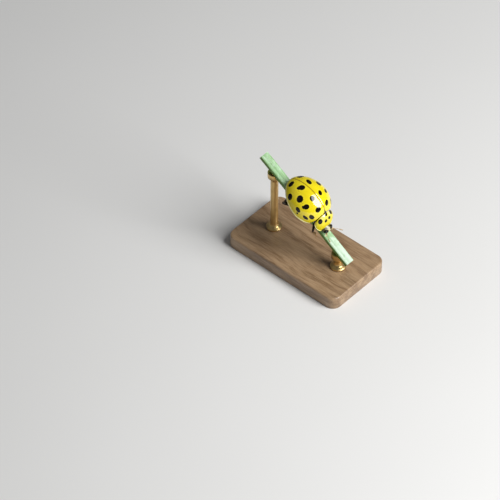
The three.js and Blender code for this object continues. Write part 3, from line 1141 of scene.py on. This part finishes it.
@dataclass
class Trunk:
    """Thorax and abdomen as one body under the shell, with its belly plates."""

    centre_x: float = -0.48
    front_reach: float = 1.5
    rear_reach: float = 1.22
    half_width: float = 1.0
    margin_z: float = 0.84
    top: float = 0.56
    bottom: float = 0.4
    fore_x: float = 1.16
    fore_z: float = 0.66
    fore_length: float = 0.5
    fore_half_width: float = 0.6
    fore_half_height: float = 0.25
    blend: float = 5.0  # the higher, the tighter the waist between thorax and abdomen
    groove: float = 0.03
    groove_width: float = 0.022
    grooves: tuple[float, ...] = (-1.52, -1.32, -1.1, -0.86, -0.6, -0.24, 0.34, 0.9)

    def girth(self, x: float) -> tuple[float, float, float, float]:
        """The trunk's half width, middle height, and reach up and down at x.

        Args:
            x: place along the body.

        Returns:
            Those four sizes in mm.
        """
        dome = BackDome()
        reach = self.front_reach if x > self.centre_x else self.rear_reach
        hind = math.sqrt(max(0.0, 1 - ((x - self.centre_x) / reach) ** 2))
        fore = math.sqrt(max(0.0, 1 - ((x - self.fore_x) / self.fore_length) ** 2))
        power = self.blend
        width = ((self.half_width * hind) ** power + (self.fore_half_width * fore) ** power) ** (1 / power)
        hind_z = dome.margin_height(x) - dome.margin_z + self.margin_z
        up = self.fore_z + self.fore_half_height * fore
        down = self.fore_z - self.fore_half_height * fore
        if hind:
            up = max(up, hind_z + self.top * hind)
            down = min(down, hind_z - self.bottom * hind)
        middle = lerp(hind_z, self.fore_z, smoothstep(x, 0.5, 1.0))
        return width, middle, up - middle, middle - down

    def move(self, unit: Vector) -> Vector:
        """Place of one point of the unit ball.

        Args:
            unit: the point on the unit ball.

        Returns:
            The point of the trunk in mm.
        """
        rear = self.centre_x - self.rear_reach
        front = self.fore_x + self.fore_length
        share = 0.5 - math.asin(max(-1.0, min(1.0, unit.x))) / math.pi
        x = front + (rear - front) * (1 - math.cos(math.pi * share)) / 2
        width, middle, up, down = self.girth(x)
        angle = math.atan2(unit.z, unit.y)
        lift = math.sin(angle)
        cut = min(1.0, sum(bell(x, place, self.groove_width) for place in self.grooves))
        shrink = 1 - self.groove * cut / max(width, 0.1) * smoothstep(-lift, -0.1, 0.3)
        rise = (up if lift > 0 else down) * lift
        return Vector((x, width * math.cos(angle) * shrink, middle + rise * shrink))

    def build(self) -> None:
        """Makes the trunk."""
        nodes = ["prothorax", "thorax", "abdomen"]
        finish = TrunkFinish().dress()
        make_piece("trunk_body", ball(56, 150, self.move), BODY_PLACE, Slot.UNDERSIDE, finish, nodes)


@dataclass(frozen=True)
class HeadFinish:
    """Cream face with a greyer middle and painted shade behind the eyes, under the pronotum's front edge."""

    cream: Colour = (0.62, 0.52, 0.22)
    grey: Colour = (0.46, 0.46, 0.38)
    # painted shade behind the eyes, where the pronotum's front edge overhangs the head
    dark: Colour = (0.030, 0.022, 0.005)
    brown: Colour = (0.36, 0.22, 0.07)

    def dress(self) -> Material:
        """Builds the material.

        Returns:
            The finished material.
        """
        board = Board("head_horn", HEAD_PLACE)
        x, y, z = board.split(board.own)
        mottle = board.noise(board.own, 12.0, 3.0)
        middle = abs(y).ramp(0.13, 0.05) * x.ramp(1.92, 1.80)
        colour = board.mix(middle * 0.85, self.cream, self.grey)
        # Painted shade on both sides behind the eyes, under the pronotum's front edge.
        painted_shade_band = (x + (mottle - 0.5) * 0.05).ramp(1.775, 1.725) * abs(y).ramp(0.05, 0.11)
        colour = board.mix(painted_shade_band * 0.95, colour, self.dark)
        colour = board.mix(z.ramp(0.46, 0.38) * 0.7, colour, self.brown)
        pits = board.cells(board.own, 30.0).ramp(0.0, 0.3)
        relief = board.bump(pits * 0.7 + mottle * 0.3, 0.004, 0.6)
        return board.finish(
            colour, 0.36 + mottle * 0.1, relief, Coat_Weight=0.35, Coat_Roughness=0.2,
            Specular_IOR_Level=0.25,
        )


@dataclass(frozen=True)
class EyeFinish:
    """Black compound eye with fine facets."""

    light: Colour = (0.012, 0.010, 0.009)
    dark: Colour = (0.004, 0.003, 0.003)

    def dress(self) -> Material:
        """Builds the material.

        Returns:
            The finished material.
        """
        board = Board("eye_facets", HEAD_PLACE)
        facets = board.cells(board.own, 55.0).ramp(0.05, 0.5)
        colour = board.mix(facets, self.light, self.dark)
        return board.finish(
            colour, 0.3 + facets * 0.1, board.bump(1 - facets, 0.004, 0.8), Coat_Weight=0.3,
            Coat_Roughness=0.12, Specular_IOR_Level=0.1,
        )


@dataclass
class Head:
    """The head capsule with its eyes, mouthparts, palps and feelers."""

    centre: Vector = Vector((1.55, 0, 0.565))
    reach: float = 0.36
    half_width: float = 0.36
    half_height: float = 0.19
    outline_power: float = 2.6
    clypeus: Vector = Vector((1.8, 0, 0.5))
    clypeus_size: Vector = Vector((0.14, 0.19, 0.12))
    blend: float = 14.0  # the higher, the sharper the line between skull and clypeus
    eye: Vector = Vector((1.8, 0.232, 0.625))
    eye_size: Vector = Vector((0.165, 0.102, 0.122))
    eye_turn: float = 1.15
    seat_depth: float = 0.05
    ring_height: float = 0.012
    ring_at: float = 1.12  # middle of the ring round each eye, in sizes of the eye
    ring_width: float = 0.13
    lip: Vector = Vector((1.885, 0, 0.455))
    lip_size: Vector = Vector((0.062, 0.125, 0.035))
    suture_x: float = 1.845  # groove between the face and the upper lip
    suture_width: float = 0.012
    suture_depth: float = 0.008
    joint_radii: tuple[float, ...] = (
        0.044, 0.028, 0.015, 0.014, 0.014, 0.015, 0.016, 0.018, 0.030, 0.038, 0.034,
    )
    joint_lengths: tuple[float, ...] = (1.5, 1.1, 1.2, 0.85, 0.8, 0.75, 0.7, 0.65, 0.9, 0.9, 1.0)
    joint_share: float = 0.86  # how much of its length a joint fills

    def eye_matrix(self, side: Side) -> Matrix:
        """Matrix whose unit ball is one eye.

        Args:
            side: the eye's side.

        Returns:
            The matrix in the insect's frame.
        """
        centre = Vector((self.eye.x, side.value * self.eye.y, self.eye.z))
        turn = Matrix.Rotation(-side.value * self.eye_turn, 4, "Z")
        return Matrix.Translation(centre) @ turn @ Matrix.Diagonal((*self.eye_size, 1))

    def skull_reach(self, way: Vector) -> float:
        """Distance from the skull's middle to its surface.

        Args:
            way: direction of unit length.

        Returns:
            The distance in mm, with the clypeus blended in.
        """
        power = self.outline_power
        plan = (abs(way.x) / self.reach) ** power + (abs(way.y) / self.half_width) ** power
        skull = (plan ** (2 / power) + (way.z / self.half_height) ** 2) ** -0.5
        offset = self.clypeus - self.centre
        scaled_way = Vector(way[axis] / self.clypeus_size[axis] for axis in range(3))
        scaled_offset = Vector(offset[axis] / self.clypeus_size[axis] for axis in range(3))
        square = scaled_way.length_squared
        half = scaled_way.dot(scaled_offset)
        rest = half * half - square * (scaled_offset.length_squared - 1)
        far = (half + math.sqrt(rest)) / square if rest > 0 and half > 0 else 0.0
        return (skull ** self.blend + far ** self.blend) ** (1 / self.blend)

    def capsule(self) -> Shape:
        """The head capsule with a seat and a raised ring round each eye.

        Returns:
            The closed capsule.
        """
        seats = [self.eye_matrix(side).inverted() for side in Side]

        def move(unit: Vector) -> Vector:
            """Place of one point of the unit ball.

            Args:
                unit: the point on the unit ball.

            Returns:
                The point of the capsule in mm.
            """
            place = self.centre + unit * self.skull_reach(unit)
            for seat in seats:
                away = (seat @ place).length
                ring = self.ring_height * bell(away, self.ring_at, self.ring_width)
                place += unit * (ring - self.seat_depth * smoothstep(away, 1.0, 0.75))
            cut = bell(place.x, self.suture_x, self.suture_width) * smoothstep(place.z, 0.62, 0.5)
            return place - unit * self.suture_depth * cut

        return ball(96, 96, move)

    def jaws(self) -> Shape:
        """Upper lip, the tips of both jaws and the lower palps.

        Returns:
            The shapes as one.
        """
        parts = [ball(28, 16, lambda unit: self.lip + unit * self.lip_size)]
        for side in Side:
            sign = side.value
            parts.append(limb(
                Vector((1.84, sign * 0.13, 0.43)), Vector((1.945, sign * 0.02, 0.415)),
                [(0.0, 0.045), (0.5, 0.04), (0.85, 0.02), (1.0, 0.012)], flat=0.6,
            ))
            parts.append(limb(
                Vector((1.84, sign * 0.05, 0.39)), Vector((1.90, sign * 0.075, 0.378)),
                [(0.0, 0.016), (0.6, 0.02), (1.0, 0.012)], steps=10,
            ))
        return join(parts)

    def palp(self, side: Side) -> Shape:
        """One upper palp, with its broad axe-shaped last joint.

        Args:
            side: the palp's side.

        Returns:
            The joints as one shape.
        """
        root = Vector((1.85, 0.14, 0.43))
        elbow = Vector((1.89, 0.215, 0.44))
        wrist = Vector((1.91, 0.265, 0.44))
        tip = Vector((1.97, 0.365, 0.44))
        return mirrored(join([
            limb(root, elbow, [(0.0, 0.022), (0.7, 0.026), (1.0, 0.022)], steps=12),
            limb(elbow, wrist, [(0.0, 0.02), (1.0, 0.028)], steps=12),
            limb(wrist, tip, [(0.0, 0.024), (0.5, 0.06), (0.9, 0.084), (1.0, 0.062)], 0.5, 18, 0.6),
        ]), side)

    def feeler(self, side: Side) -> Shape:
        """One feeler of eleven joints that ends in a three-jointed club.

        Args:
            side: the feeler's side.

        Returns:
            The joints as one shape.
        """
        base = Vector((1.88, side.value * 0.22, 0.53))
        if side is Side.LEFT:
            bend, tip = Vector((2.16, 0.54, 0.5)), Vector((2.52, 0.77, 0.44))
        else:
            bend, tip = Vector((2.1, -0.42, 0.48)), Vector((2.44, -0.47, 0.45))
        whole = sum(self.joint_lengths)
        travelled = 0.0
        parts = []
        for radius, length in zip(self.joint_radii, self.joint_lengths):
            ends = []
            for share in (travelled / whole, (travelled + length * self.joint_share) / whole):
                first, second = base.lerp(bend, share), bend.lerp(tip, share)
                ends.append(first.lerp(second, share))
            parts.append(limb(*ends, swell(radius, (0.0, 0.75), (0.35, 0.9), (0.8, 1.0), (1.0, 0.8))))
            travelled += length
        return join(parts)

    def build(self) -> None:
        """Makes every piece of the head."""
        make_piece("head_capsule", self.capsule(), HEAD_PLACE, Slot.HEAD, HeadFinish().dress(), ["head"])
        facets = EyeFinish().dress()
        brown = HornFinish("mouth_brown", (0.16, 0.075, 0.02), (0.34, 0.19, 0.06)).dress()
        tan = HornFinish("feeler_tan", (0.34, 0.21, 0.09), (0.46, 0.31, 0.15)).dress()
        pale = HornFinish("palp_pale", (0.70, 0.56, 0.34), (0.82, 0.70, 0.48)).dress()
        make_piece("jaws_and_lip", self.jaws(), HEAD_PLACE, Slot.LEG, brown, ["mouthparts"])
        for side in Side:
            matrix = self.eye_matrix(side)
            eye = ball(48, 32, lambda unit: matrix @ unit)
            for name, shape, slot, finish, node in (
                ("eye_ball", eye, Slot.EYE, facets, "eye"),
                ("palp_joints", self.palp(side), Slot.LEG, pale, "palp"),
                ("feeler", self.feeler(side), Slot.LEG, tan, "antenna"),
            ):
                make_piece(f"{name}_{side.word}", shape, HEAD_PLACE, slot, finish, [f"{node}_{side.word}"])


# ---------------------------------------------------------------- legs


@dataclass(frozen=True)
class LegPose:
    """Where one right leg's joints lie, and how far its left fellow steps ahead of it."""

    name: str
    hip: Vector
    knee: Vector
    ankle: Vector
    toe: Vector
    step: float
    girth: float  # thickness of the thigh, as a share of the usual

    def joints(self, side: Side) -> list[Vector]:
        """The four joints on one side.

        Args:
            side: the leg's side.

        Returns:
            Hip, knee, ankle and toe.
        """
        shift = self.step if side is Side.LEFT else 0.0
        strides = ((self.hip, 0.0), (self.knee, shift), (self.ankle, shift), (self.toe, shift))
        return [Vector((point.x + stride, -side.value * point.y, point.z)) for point, stride in strides]


@dataclass
class Legs:
    """Six legs: thick thighs, slim shins and jointed feet with two claws each."""

    poses: tuple[LegPose, ...] = (
        LegPose(
            "front", Vector((0.98, -0.42, 0.42)), Vector((1.37, -0.78, 0.14)), Vector((1.53, -0.59, 0.0)),
            Vector((1.72, -0.61, -0.1)), 0.1, 0.62,
        ),
        LegPose(
            "middle", Vector((0.42, -0.34, 0.4)), Vector((0.34, -0.78, 0.34)), Vector((0.2, -0.5, 0.0)),
            Vector((-0.02, -0.4, -0.1)), 0.2, 0.9,
        ),
        LegPose(
            "hind", Vector((-0.3, -0.34, 0.4)), Vector((-1.18, -1.28, 0.44)), Vector((-1.26, -0.58, 0.12)),
            Vector((-1.5, -0.42, 0.04)), -0.1, 1.2,
        ),
    )
    thigh: float = 0.13
    shin: float = 0.07
    foot: float = 0.045
    claw: float = 0.016  # radius of a claw at its root, in mm; so are the next three
    tooth: float = 0.009
    shin_hair: float = 0.0035
    foot_hair: float = 0.003
    hairs: int = 26
    seed: int = 22

    def femur(self, hip: Vector, knee: Vector, girth: float) -> Shape:
        """A thigh with its small ring at the hip.

        Args:
            hip: middle of its near end.
            knee: middle of its far end.
            girth: its thickness, as a share of the usual.

        Returns:
            The closed shapes as one.
        """
        wide = self.thigh * girth
        form = swell(wide, (0.0, 0.6), (0.2, 0.95), (0.5, 1.0), (0.8, 0.9), (1.0, 0.62))
        ring = limb(hip, hip.lerp(knee, 0.12), swell(wide, (0.0, 0.6), (1.0, 0.72)), steps=16)
        return join([limb(hip, knee, form, flat=0.62, steps=24), ring])

    def tibia(self, knee: Vector, ankle: Vector, draw: random.Random) -> Shape:
        """A shin that widens to its end, with short hairs.

        Args:
            knee: middle of its near end.
            ankle: middle of its far end.
            draw: the legs' own run of random numbers.

        Returns:
            The closed shapes as one.
        """
        form = swell(self.shin, (0.0, 0.62), (0.12, 0.75), (0.55, 1.0), (0.9, 1.05), (1.0, 0.8))
        parts = [limb(knee, ankle, form, flat=0.75, steps=18)]
        axis = (ankle - knee).normalized()
        for _ in range(self.hairs):
            share = draw.uniform(0.3, 1.0)
            aside = axis.orthogonal().normalized()
            aside.rotate(Quaternion(axis, draw.uniform(0, 2 * math.pi)))
            root = knee.lerp(ankle, share) + aside * self.shin * 0.7
            parts.append(spike(root, root + aside * 0.03 + axis * 0.05, self.shin_hair))
        return join(parts)

    def tarsus(self, ankle: Vector, toe: Vector, draw: random.Random) -> Shape:
        """A foot: two padded lobes, a thin last joint and a pair of toothed claws.

        Args:
            ankle: middle of its near end.
            toe: middle of its far end.
            draw: the legs' own run of random numbers.

        Returns:
            The closed shapes as one.
        """
        axis = (toe - ankle).normalized()
        across = axis.cross(Vector((0, 0, 1))).normalized()
        under = axis.cross(across).normalized()
        if under.z > 0:
            under = -under
        first, second = ankle.lerp(toe, 0.36), ankle.lerp(toe, 0.66)
        parts = [
            limb(ankle, first, swell(self.foot, (0.0, 0.6), (0.7, 1.0), (1.0, 0.9)), flat=0.8),
            limb(first, second, swell(self.foot, (0.0, 0.6), (0.7, 1.15), (1.0, 1.0)), flat=0.7),
            limb(second, toe, swell(self.foot, (0.0, 0.4), (0.6, 0.42), (1.0, 0.62)), steps=12),
        ]
        for sign in (-1, 1):
            root = toe + across * sign * 0.018
            point = root + axis * 0.075 + across * sign * 0.045 + under * 0.05
            parts.append(spike(root, point, self.claw, -under * 0.02 + across * sign * 0.012, 8))
            parts.append(spike(root + axis * 0.02, root + axis * 0.045 + under * 0.045, self.tooth, sides=6))
        for _ in range(self.hairs):
            root = ankle.lerp(second, draw.uniform(0.15, 1.0)) + under * self.foot * 0.6
            root += across * draw.uniform(-0.8, 0.8) * self.foot
            parts.append(spike(root, root + under * 0.035 + axis * 0.02, self.foot_hair))
        return join(parts)

    def build(self) -> None:
        """Makes all eighteen leg pieces."""
        dark = HornFinish("thigh_dark", (0.010, 0.006, 0.003), (0.034, 0.018, 0.007), 0.42, 0.15).dress()
        brown = HornFinish("shin_brown", (0.075, 0.04, 0.012), (0.20, 0.11, 0.035)).dress()
        tan = HornFinish("foot_brown", (0.17, 0.08, 0.02), (0.34, 0.19, 0.06)).dress()
        draw = random.Random(self.seed)
        for pose in self.poses:
            for side in Side:
                hip, knee, ankle, toe = pose.joints(side)
                for part, shape, finish in (
                    ("femur", self.femur(hip, knee, pose.girth), dark),
                    ("tibia", self.tibia(knee, ankle, draw), brown),
                    ("tarsus", self.tarsus(ankle, toe, draw), tan),
                ):
                    node = f"leg_{pose.name}_{side.word}_{part}"
                    make_piece(f"{node}_horn", shape, BODY_PLACE, Slot.LEG, finish, [node])


# ---------------------------------------------------------------- perch and stand


@dataclass(frozen=True)
class StalkFinish:
    """Ribbed pale green stalk, whitish in waxy patches and paler towards its lower end from painted light,
    darker and greener on its lower side from painted shade.
    """

    pale: Colour = (0.30, 0.50, 0.25)
    green: Colour = (0.18, 0.36, 0.09)
    bloom: Colour = (0.58, 0.73, 0.56)
    # painted shade colours for the stalk's lower side
    flank: Colour = (0.12, 0.28, 0.03)
    shade: Colour = (0.09, 0.19, 0.012)

    def dress(self) -> Material:
        """Builds the material.

        Returns:
            The finished material.
        """
        board = Board("stalk_skin", STALK_PLACE)
        x, y, z = board.split(board.own)
        patches = board.noise(board.stretch(board.own, (0.8, 1, 1)), 3.2, 4.0)
        streaks = board.noise(board.stretch(board.own, (0.6, 7, 7)), 2.0, 3.0)
        # Painted shade: darker green along the lower side, away from the key light.
        painted_shade_side = (y * 0.85 + z * 0.53 + (streaks - 0.5) * 0.06).ramp(-0.185, -0.235)
        colour = board.mix(streaks.ramp(0.40, 0.62) * 0.55, self.pale, self.green)
        # Whitish waxy bloom in random patches, plus painted light that pales the stalk towards its lower end.
        bloom = (patches + x.ramp(1.6, 3.4) * 0.35 + (streaks - 0.5) * 0.5).ramp(0.48, 0.82)
        colour = board.mix(bloom * 0.9, colour, self.bloom)
        colour = board.mix(painted_shade_side * 0.9, colour, self.flank)
        # Painted shade along the lower flank facing -Y.
        colour = board.mix((y * -0.95 + z * -0.3).ramp(0.20, 0.33) * 0.8, colour, self.shade)
        cells = board.cells(board.stretch(board.own, (6, 26, 26)), 1.0)
        relief = board.bump(cells * 0.5 + streaks * 0.5, 0.02, 0.6)
        return board.finish(colour, 0.45 + streaks * 0.15, relief, Coat_Weight=0.15, Coat_Roughness=0.3)


@dataclass
class Stalk:
    """A cut length of leaf stalk with soft ribs, fine hairs and cut ends."""

    radius: float = 0.332
    half_length: float = 4.3
    flat_way: float = math.radians(114)  # way that the flattened upper side faces, round the stalk
    flat_height: float = 0.245
    flat_power: float = 14.0  # the higher, the sharper the ridges beside the flat
    rib_depth: float = 0.016
    rib_power: float = 0.7  # below 1 the grooves between the ribs are narrow
    ribs: int = 7
    twist: float = 0.12  # turn of the ribs, in radians per mm
    around: int = 84
    along: int = 150
    end_rings: Pairs = ((0.02, 0.03), (0.01, 0.09), (-0.025, 0.05), (0.012, 0.06))  # rise and width, in mm
    hairs: int = 150
    hair_lengths: tuple[float, float] = (0.04, 0.09)
    hair_radius: float = 0.005
    hair_bend: Vector = Vector((0.01, 0, 0))
    seed: int = 7

    def reach(self, angle: float) -> float:
        """Share of the full radius that the section reaches at an angle."""
        facing = max(0.0, math.cos(angle - self.flat_way)) * self.radius / self.flat_height
        return (1 + facing ** self.flat_power) ** (-1 / self.flat_power)

    def skin(self) -> Shape:
        """The ribbed stalk with both cut ends.

        Returns:
            The closed shape along X.
        """
        shape = bmesh.new()
        bmesh.ops.create_cone(
            shape, cap_ends=True, segments=self.around, radius1=self.radius, radius2=self.radius,
            depth=2 * self.half_length,
        )
        long_edges = upright_edges(shape, MERGE)
        bmesh.ops.subdivide_edges(shape, edges=long_edges, cuts=self.along, use_grid_fill=True)
        ends = [face for face in shape.faces if len(face.verts) > 4]
        for depth, width in self.end_rings:
            bmesh.ops.inset_region(shape, faces=ends, thickness=width, depth=-depth)
        bmesh.ops.rotate(shape, verts=shape.verts, matrix=Matrix.Rotation(math.pi / 2, 3, "Y"))
        for vert in shape.verts:
            x, y, z = vert.co
            way = math.atan2(z, y)
            angle = way + self.twist * x
            share = math.hypot(y, z) / self.radius
            wave = abs(math.sin(angle * self.ribs / 2)) ** self.rib_power
            drift = 0.4 * math.sin(3.1 * x + 2 * angle) + 0.3 * math.sin(7.3 * x - angle)
            scale = 1 - self.rib_depth / self.radius * (1 - wave + 0.3 + 0.3 * drift) * min(1.0, share)
            scale *= self.reach(way)
            vert.co = Vector((x, y * scale, z * scale))
        bmesh.ops.recalc_face_normals(shape, faces=shape.faces)
        return shape

    def coat(self) -> Shape:
        """Sparse fine hairs, all within the stalk's length.

        Returns:
            The hairs as one shape.
        """
        draw = random.Random(self.seed)
        parts = []
        for _ in range(self.hairs):
            angle = draw.uniform(0, 2 * math.pi)
            out = Vector((0, math.cos(angle), math.sin(angle)))
            x = draw.uniform(-0.96, 0.96) * self.half_length
            root = Vector((x, 0, 0)) + out * self.radius * self.reach(angle) * 0.93
            length = draw.uniform(*self.hair_lengths)
            tip = root + out * length * 0.8 + Vector((draw.uniform(-0.5, 0.9) * length, 0, 0))
            parts.append(spike(root, tip, self.hair_radius, self.hair_bend, 4))
        return join(parts)

    def build(self) -> None:
        """Makes the stalk and its hairs."""
        skin = StalkFinish().dress()
        make_piece("stalk_length", self.skin(), STALK_PLACE, Slot.STALK, skin, ["perch_stem"])
        hair = HornFinish("stalk_hair", (0.62, 0.70, 0.52), (0.80, 0.85, 0.72), 0.4).dress()
        make_piece("stalk_hairs", self.coat(), STALK_PLACE, Slot.STALK, hair, [])


@dataclass(frozen=True)
class WoodFinish:
    """Oiled teak with its grain along the base."""

    dark: Colour = (0.20, 0.115, 0.055)
    brown: Colour = (0.36, 0.23, 0.125)
    light: Colour = (0.48, 0.33, 0.20)

    def dress(self) -> Material:
        """Builds the material.

        Returns:
            The finished material.
        """
        board = Board("teak_oiled", WORLD_PLACE)
        sway = board.noise(board.stretch(board.own, (0.22, 0.5, 0.5)), 1.0)
        drawn = board.node("ShaderNodeVectorMath", {"operation": "ADD"}, {
            0: board.stretch(board.own, (0.12, 1, 1)), 1: board.merge(0.0, sway * 1.6, sway * 0.8),
        })
        rings = board.noise(drawn, 2.6, 4.0, 0.6)
        fibre = board.noise(board.stretch(board.own, (1.2, 26, 26)), 1.0, 3.0)
        pores = board.noise(board.stretch(board.own, (3.0, 60, 60)), 1.0, 1.0).ramp(0.62, 0.72)
        colour = board.mix(rings.ramp(0.35, 0.62), self.dark, self.brown)
        colour = board.mix(fibre.ramp(0.4, 0.75) * 0.55, colour, self.light)
        colour = board.mix(pores * 0.7, colour, self.dark)
        relief = board.bump(fibre * 0.4 + (1 - pores) * 0.6, 0.012, 0.5)
        return board.finish(colour, 0.36 + fibre * 0.16, relief, Coat_Weight=0.35, Coat_Roughness=0.25)


@dataclass(frozen=True)
class BrassFinish:
    """Satin brass with fine turning marks."""

    bright: Colour = (0.78, 0.56, 0.24)
    dull: Colour = (0.50, 0.33, 0.13)

    def dress(self) -> Material:
        """Builds the material.

        Returns:
            The finished material.
        """
        board = Board("brass_satin", WORLD_PLACE)
        lines = board.noise(board.stretch(board.own, (1.5, 1.5, 40)), 1.0, 3.0)
        tarnish = board.noise(board.own, 1.8, 4.0).ramp(0.4, 0.75)
        colour = board.mix(tarnish * 0.5, self.bright, self.dull)
        relief = board.bump(lines, 0.006, 0.5)
        return board.finish(colour, 0.24 + lines * 0.14 + tarnish * 0.12, relief, Metallic=1.0)


@dataclass
class Stand:
    """A teak base and two brass rods whose cradles hold the stalk."""

    corner: float = 0.5
    bevel: float = 0.12
    rod_radius: float = 0.25
    foot_radius: float = 0.5
    foot_height: float = 0.14
    foot_soft: float = 0.03
    cradle_radius: float = 0.44
    cradle_height: float = 0.62
    cradle_soft: float = 0.02
    stalk_radius: float = 0.335
    round_steps: int = 64
    top_rings: int = 16

    def base(self) -> Shape:
        """The base: a rounded rectangle with a softened edge.

        Returns:
            The closed shape in mm.
        """
        low, high = (Vector(corner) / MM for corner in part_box("stand_base"))
        shape = bmesh.new()
        bmesh.ops.create_cube(shape, size=1)
        bmesh.ops.scale(shape, vec=high - low, verts=shape.verts)
        bmesh.ops.translate(shape, vec=(low + high) / 2, verts=shape.verts)
        soften(shape, upright_edges(shape, MERGE), self.corner + self.bevel, 14)
        top = [edge for edge in shape.edges if all(vert.co.z > high.z - MERGE for vert in edge.verts)]
        bottom = [edge for edge in shape.edges if all(vert.co.z < low.z + MERGE for vert in edge.verts)]
        soften(shape, top, self.bevel, 6)
        soften(shape, bottom, self.bevel / 2, 2)
        bmesh.ops.recalc_face_normals(shape, faces=shape.faces)
        return shape

    def rod(self, node: str) -> Shape:
        """One rod with its turned foot and a cradle that hugs the stalk.

        Args:
            node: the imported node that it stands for.

        Returns:
            The closed shape in mm.
        """
        low, high = (Vector(corner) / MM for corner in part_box(node))
        x = (low.x + high.x) / 2
        bottom, top = low.z, high.z
        rise = bottom + self.foot_height
        neck = top - self.cradle_height
        rod, foot, cup = self.rod_radius, self.foot_radius, self.cradle_radius
        seat = neck + cup - rod
        profile = [
            (0.0, bottom), (foot - self.foot_soft, bottom), (foot, bottom + self.foot_soft),
            (foot, rise - self.foot_soft), (foot - self.foot_soft, rise), (rod + 0.1, rise + 0.03),
            (rod + 0.03, rise + self.foot_height - 0.04), (rod, rise + 2 * self.foot_height),
            (rod, neck - 0.06), (rod + 0.03, neck + 0.03), (cup - 0.04, seat), (cup, seat + 0.05),
            (cup, top - self.cradle_soft),
        ]
        inner = cup - self.cradle_soft
        profile += [(inner * (1 - ring / self.top_rings), top) for ring in range(self.top_rings + 1)]
        shape = turned(profile, self.round_steps)
        bmesh.ops.translate(shape, vec=(x, 0, 0), verts=shape.verts)
        clear = self.stalk_radius + GAP
        axis_z = STALK_MIDDLE.z / MM - (x - STALK_MIDDLE.x / MM) * math.tan(SLOPE)
        for vert in shape.verts:
            if abs(vert.co.y) < clear and vert.co.z > seat:
                under = axis_z - (vert.co.x - x) * math.tan(SLOPE)
                under -= math.sqrt(clear ** 2 - vert.co.y ** 2) / math.cos(SLOPE)
                vert.co.z = min(vert.co.z, under)
        return shape

    def build(self) -> None:
        """Makes the base and both rods."""
        wood = WoodFinish().dress()
        brass = BrassFinish().dress()
        make_piece("stand_base_teak", self.base(), WORLD_PLACE, Slot.WOOD, wood, ["stand_base"], sharp=35)
        for word in ("upper", "lower"):
            node = f"stand_rod_{word}"
            make_piece(f"{node}_brass", self.rod(node), WORLD_PLACE, Slot.BRASS, brass, [node], sharp=40)


# ---------------------------------------------------------------- camera, light and floor


@dataclass(frozen=True)
class Lamp:
    """A soft oval lamp that faces the model, its longer side along the stalk."""

    name: str
    way: Vector  # direction from the model to the lamp
    distance: float  # in metres
    size: tuple[float, float]  # its two widths in metres
    watts: float
    tint: Colour

    def hang(self) -> None:
        """Adds the lamp to the scene."""
        data = bpy.data.lights.new(self.name, "AREA")
        data.shape = "ELLIPSE"
        data.size, data.size_y = self.size
        data.energy = self.watts
        data.color = self.tint
        lamp = bpy.data.objects.new(self.name, data)
        back = self.way.normalized()
        along = STALK_PLACE.to_3x3() @ Vector((1, 0, 0))
        along = (along - back * along.dot(back)).normalized()
        turn = Matrix((along, back.cross(along), back)).transposed().to_4x4()
        lamp.matrix_world = Matrix.Translation(STALK_MIDDLE + back * self.distance) @ turn
        bpy.context.scene.collection.objects.link(lamp)


@dataclass
class Studio:
    """Camera, soft lights, pale floor and pale surroundings."""

    azimuth: float = math.radians(41.7)
    elevation: float = math.radians(44.8)
    distance: float = 0.22
    frame_width: float = 0.03111  # width of the view at the model, in metres
    shift_right: float = 3.516 * MM  # how far the middle of the view lies from the stalk's middle
    shift_up: float = 2.551 * MM
    sensor: float = 36.0
    clip: tuple[float, float] = (0.01, 5.0)
    lamps: tuple[Lamp, ...] = (
        Lamp("key", Vector((0.745, 0.159, 0.640)), 0.12, (0.12, 0.08), 0.235, (0.97, 0.985, 1.0)),
        Lamp("fill", Vector((-0.5, -0.6, 0.75)), 0.2, (0.16, 0.16), 0.006, (0.97, 0.98, 1.0)),
    )
    floor_radius: float = 0.6
    floor_tones: tuple[Colour, Colour] = ((0.74, 0.725, 0.70), (0.78, 0.765, 0.74))
    sky: tuple[float, float, float, float] = (0.92, 0.95, 1.0, 1.0)
    sky_strength: float = 0.11

    def camera(self) -> None:
        """Places the camera."""
        side, tilt = self.azimuth, self.elevation
        back = Vector((math.sin(side) * math.cos(tilt), -math.cos(side) * math.cos(tilt), math.sin(tilt)))
        right = Vector((math.cos(side), math.sin(side), 0))
        up = back.cross(right)
        data = bpy.data.cameras.new("camera")
        data.sensor_width = self.sensor
        data.lens = self.sensor * self.distance / self.frame_width
        data.clip_start, data.clip_end = self.clip
        lens = bpy.data.objects.new("camera", data)
        turn = Matrix((right, up, back)).transposed().to_4x4()
        place = STALK_MIDDLE + back * self.distance - right * self.shift_right - up * self.shift_up
        lens.matrix_world = Matrix.Translation(place) @ turn
        bpy.context.scene.collection.objects.link(lens)
        bpy.context.scene.camera = lens

    def floor(self) -> None:
        """Adds the pale floor."""
        shape = bmesh.new()
        bmesh.ops.create_circle(shape, cap_ends=True, segments=96, radius=self.floor_radius)
        mesh = bpy.data.meshes.new("floor")
        shape.to_mesh(mesh)
        shape.free()
        board = Board("floor_pale", WORLD_PLACE)
        colour = board.mix(board.noise(board.own, 0.05), *self.floor_tones)
        mesh.materials.append(board.finish(colour, 0.8, None))
        floor = bpy.data.objects.new("floor", mesh)
        bpy.context.scene.collection.objects.link(floor)

    def surroundings(self) -> None:
        """Adds the pale light from all round, and plain colours for the view."""
        world = bpy.data.worlds.new("studio")
        world.use_nodes = True
        background = world.node_tree.nodes["Background"]
        background.inputs["Color"].default_value = self.sky
        background.inputs["Strength"].default_value = self.sky_strength
        bpy.context.scene.world = world
        bpy.context.scene.view_settings.view_transform = "Standard"

    def build(self) -> None:
        """Sets up the whole studio."""
        self.camera()
        for lamp in self.lamps:
            lamp.hang()
        self.floor()
        self.surroundings()


def main() -> None:
    """Builds the stage and then the model, one sub-assembly after another."""
    logging.basicConfig(level=logging.INFO, format="%(message)s")
    for kind in (Studio, WingCases, Scutellum, Pronotum, Trunk, Head, Legs, Stalk, Stand):
        LOG.info("building %s", kind.__name__)
        kind().build()


if __name__ == "__main__":
    main()
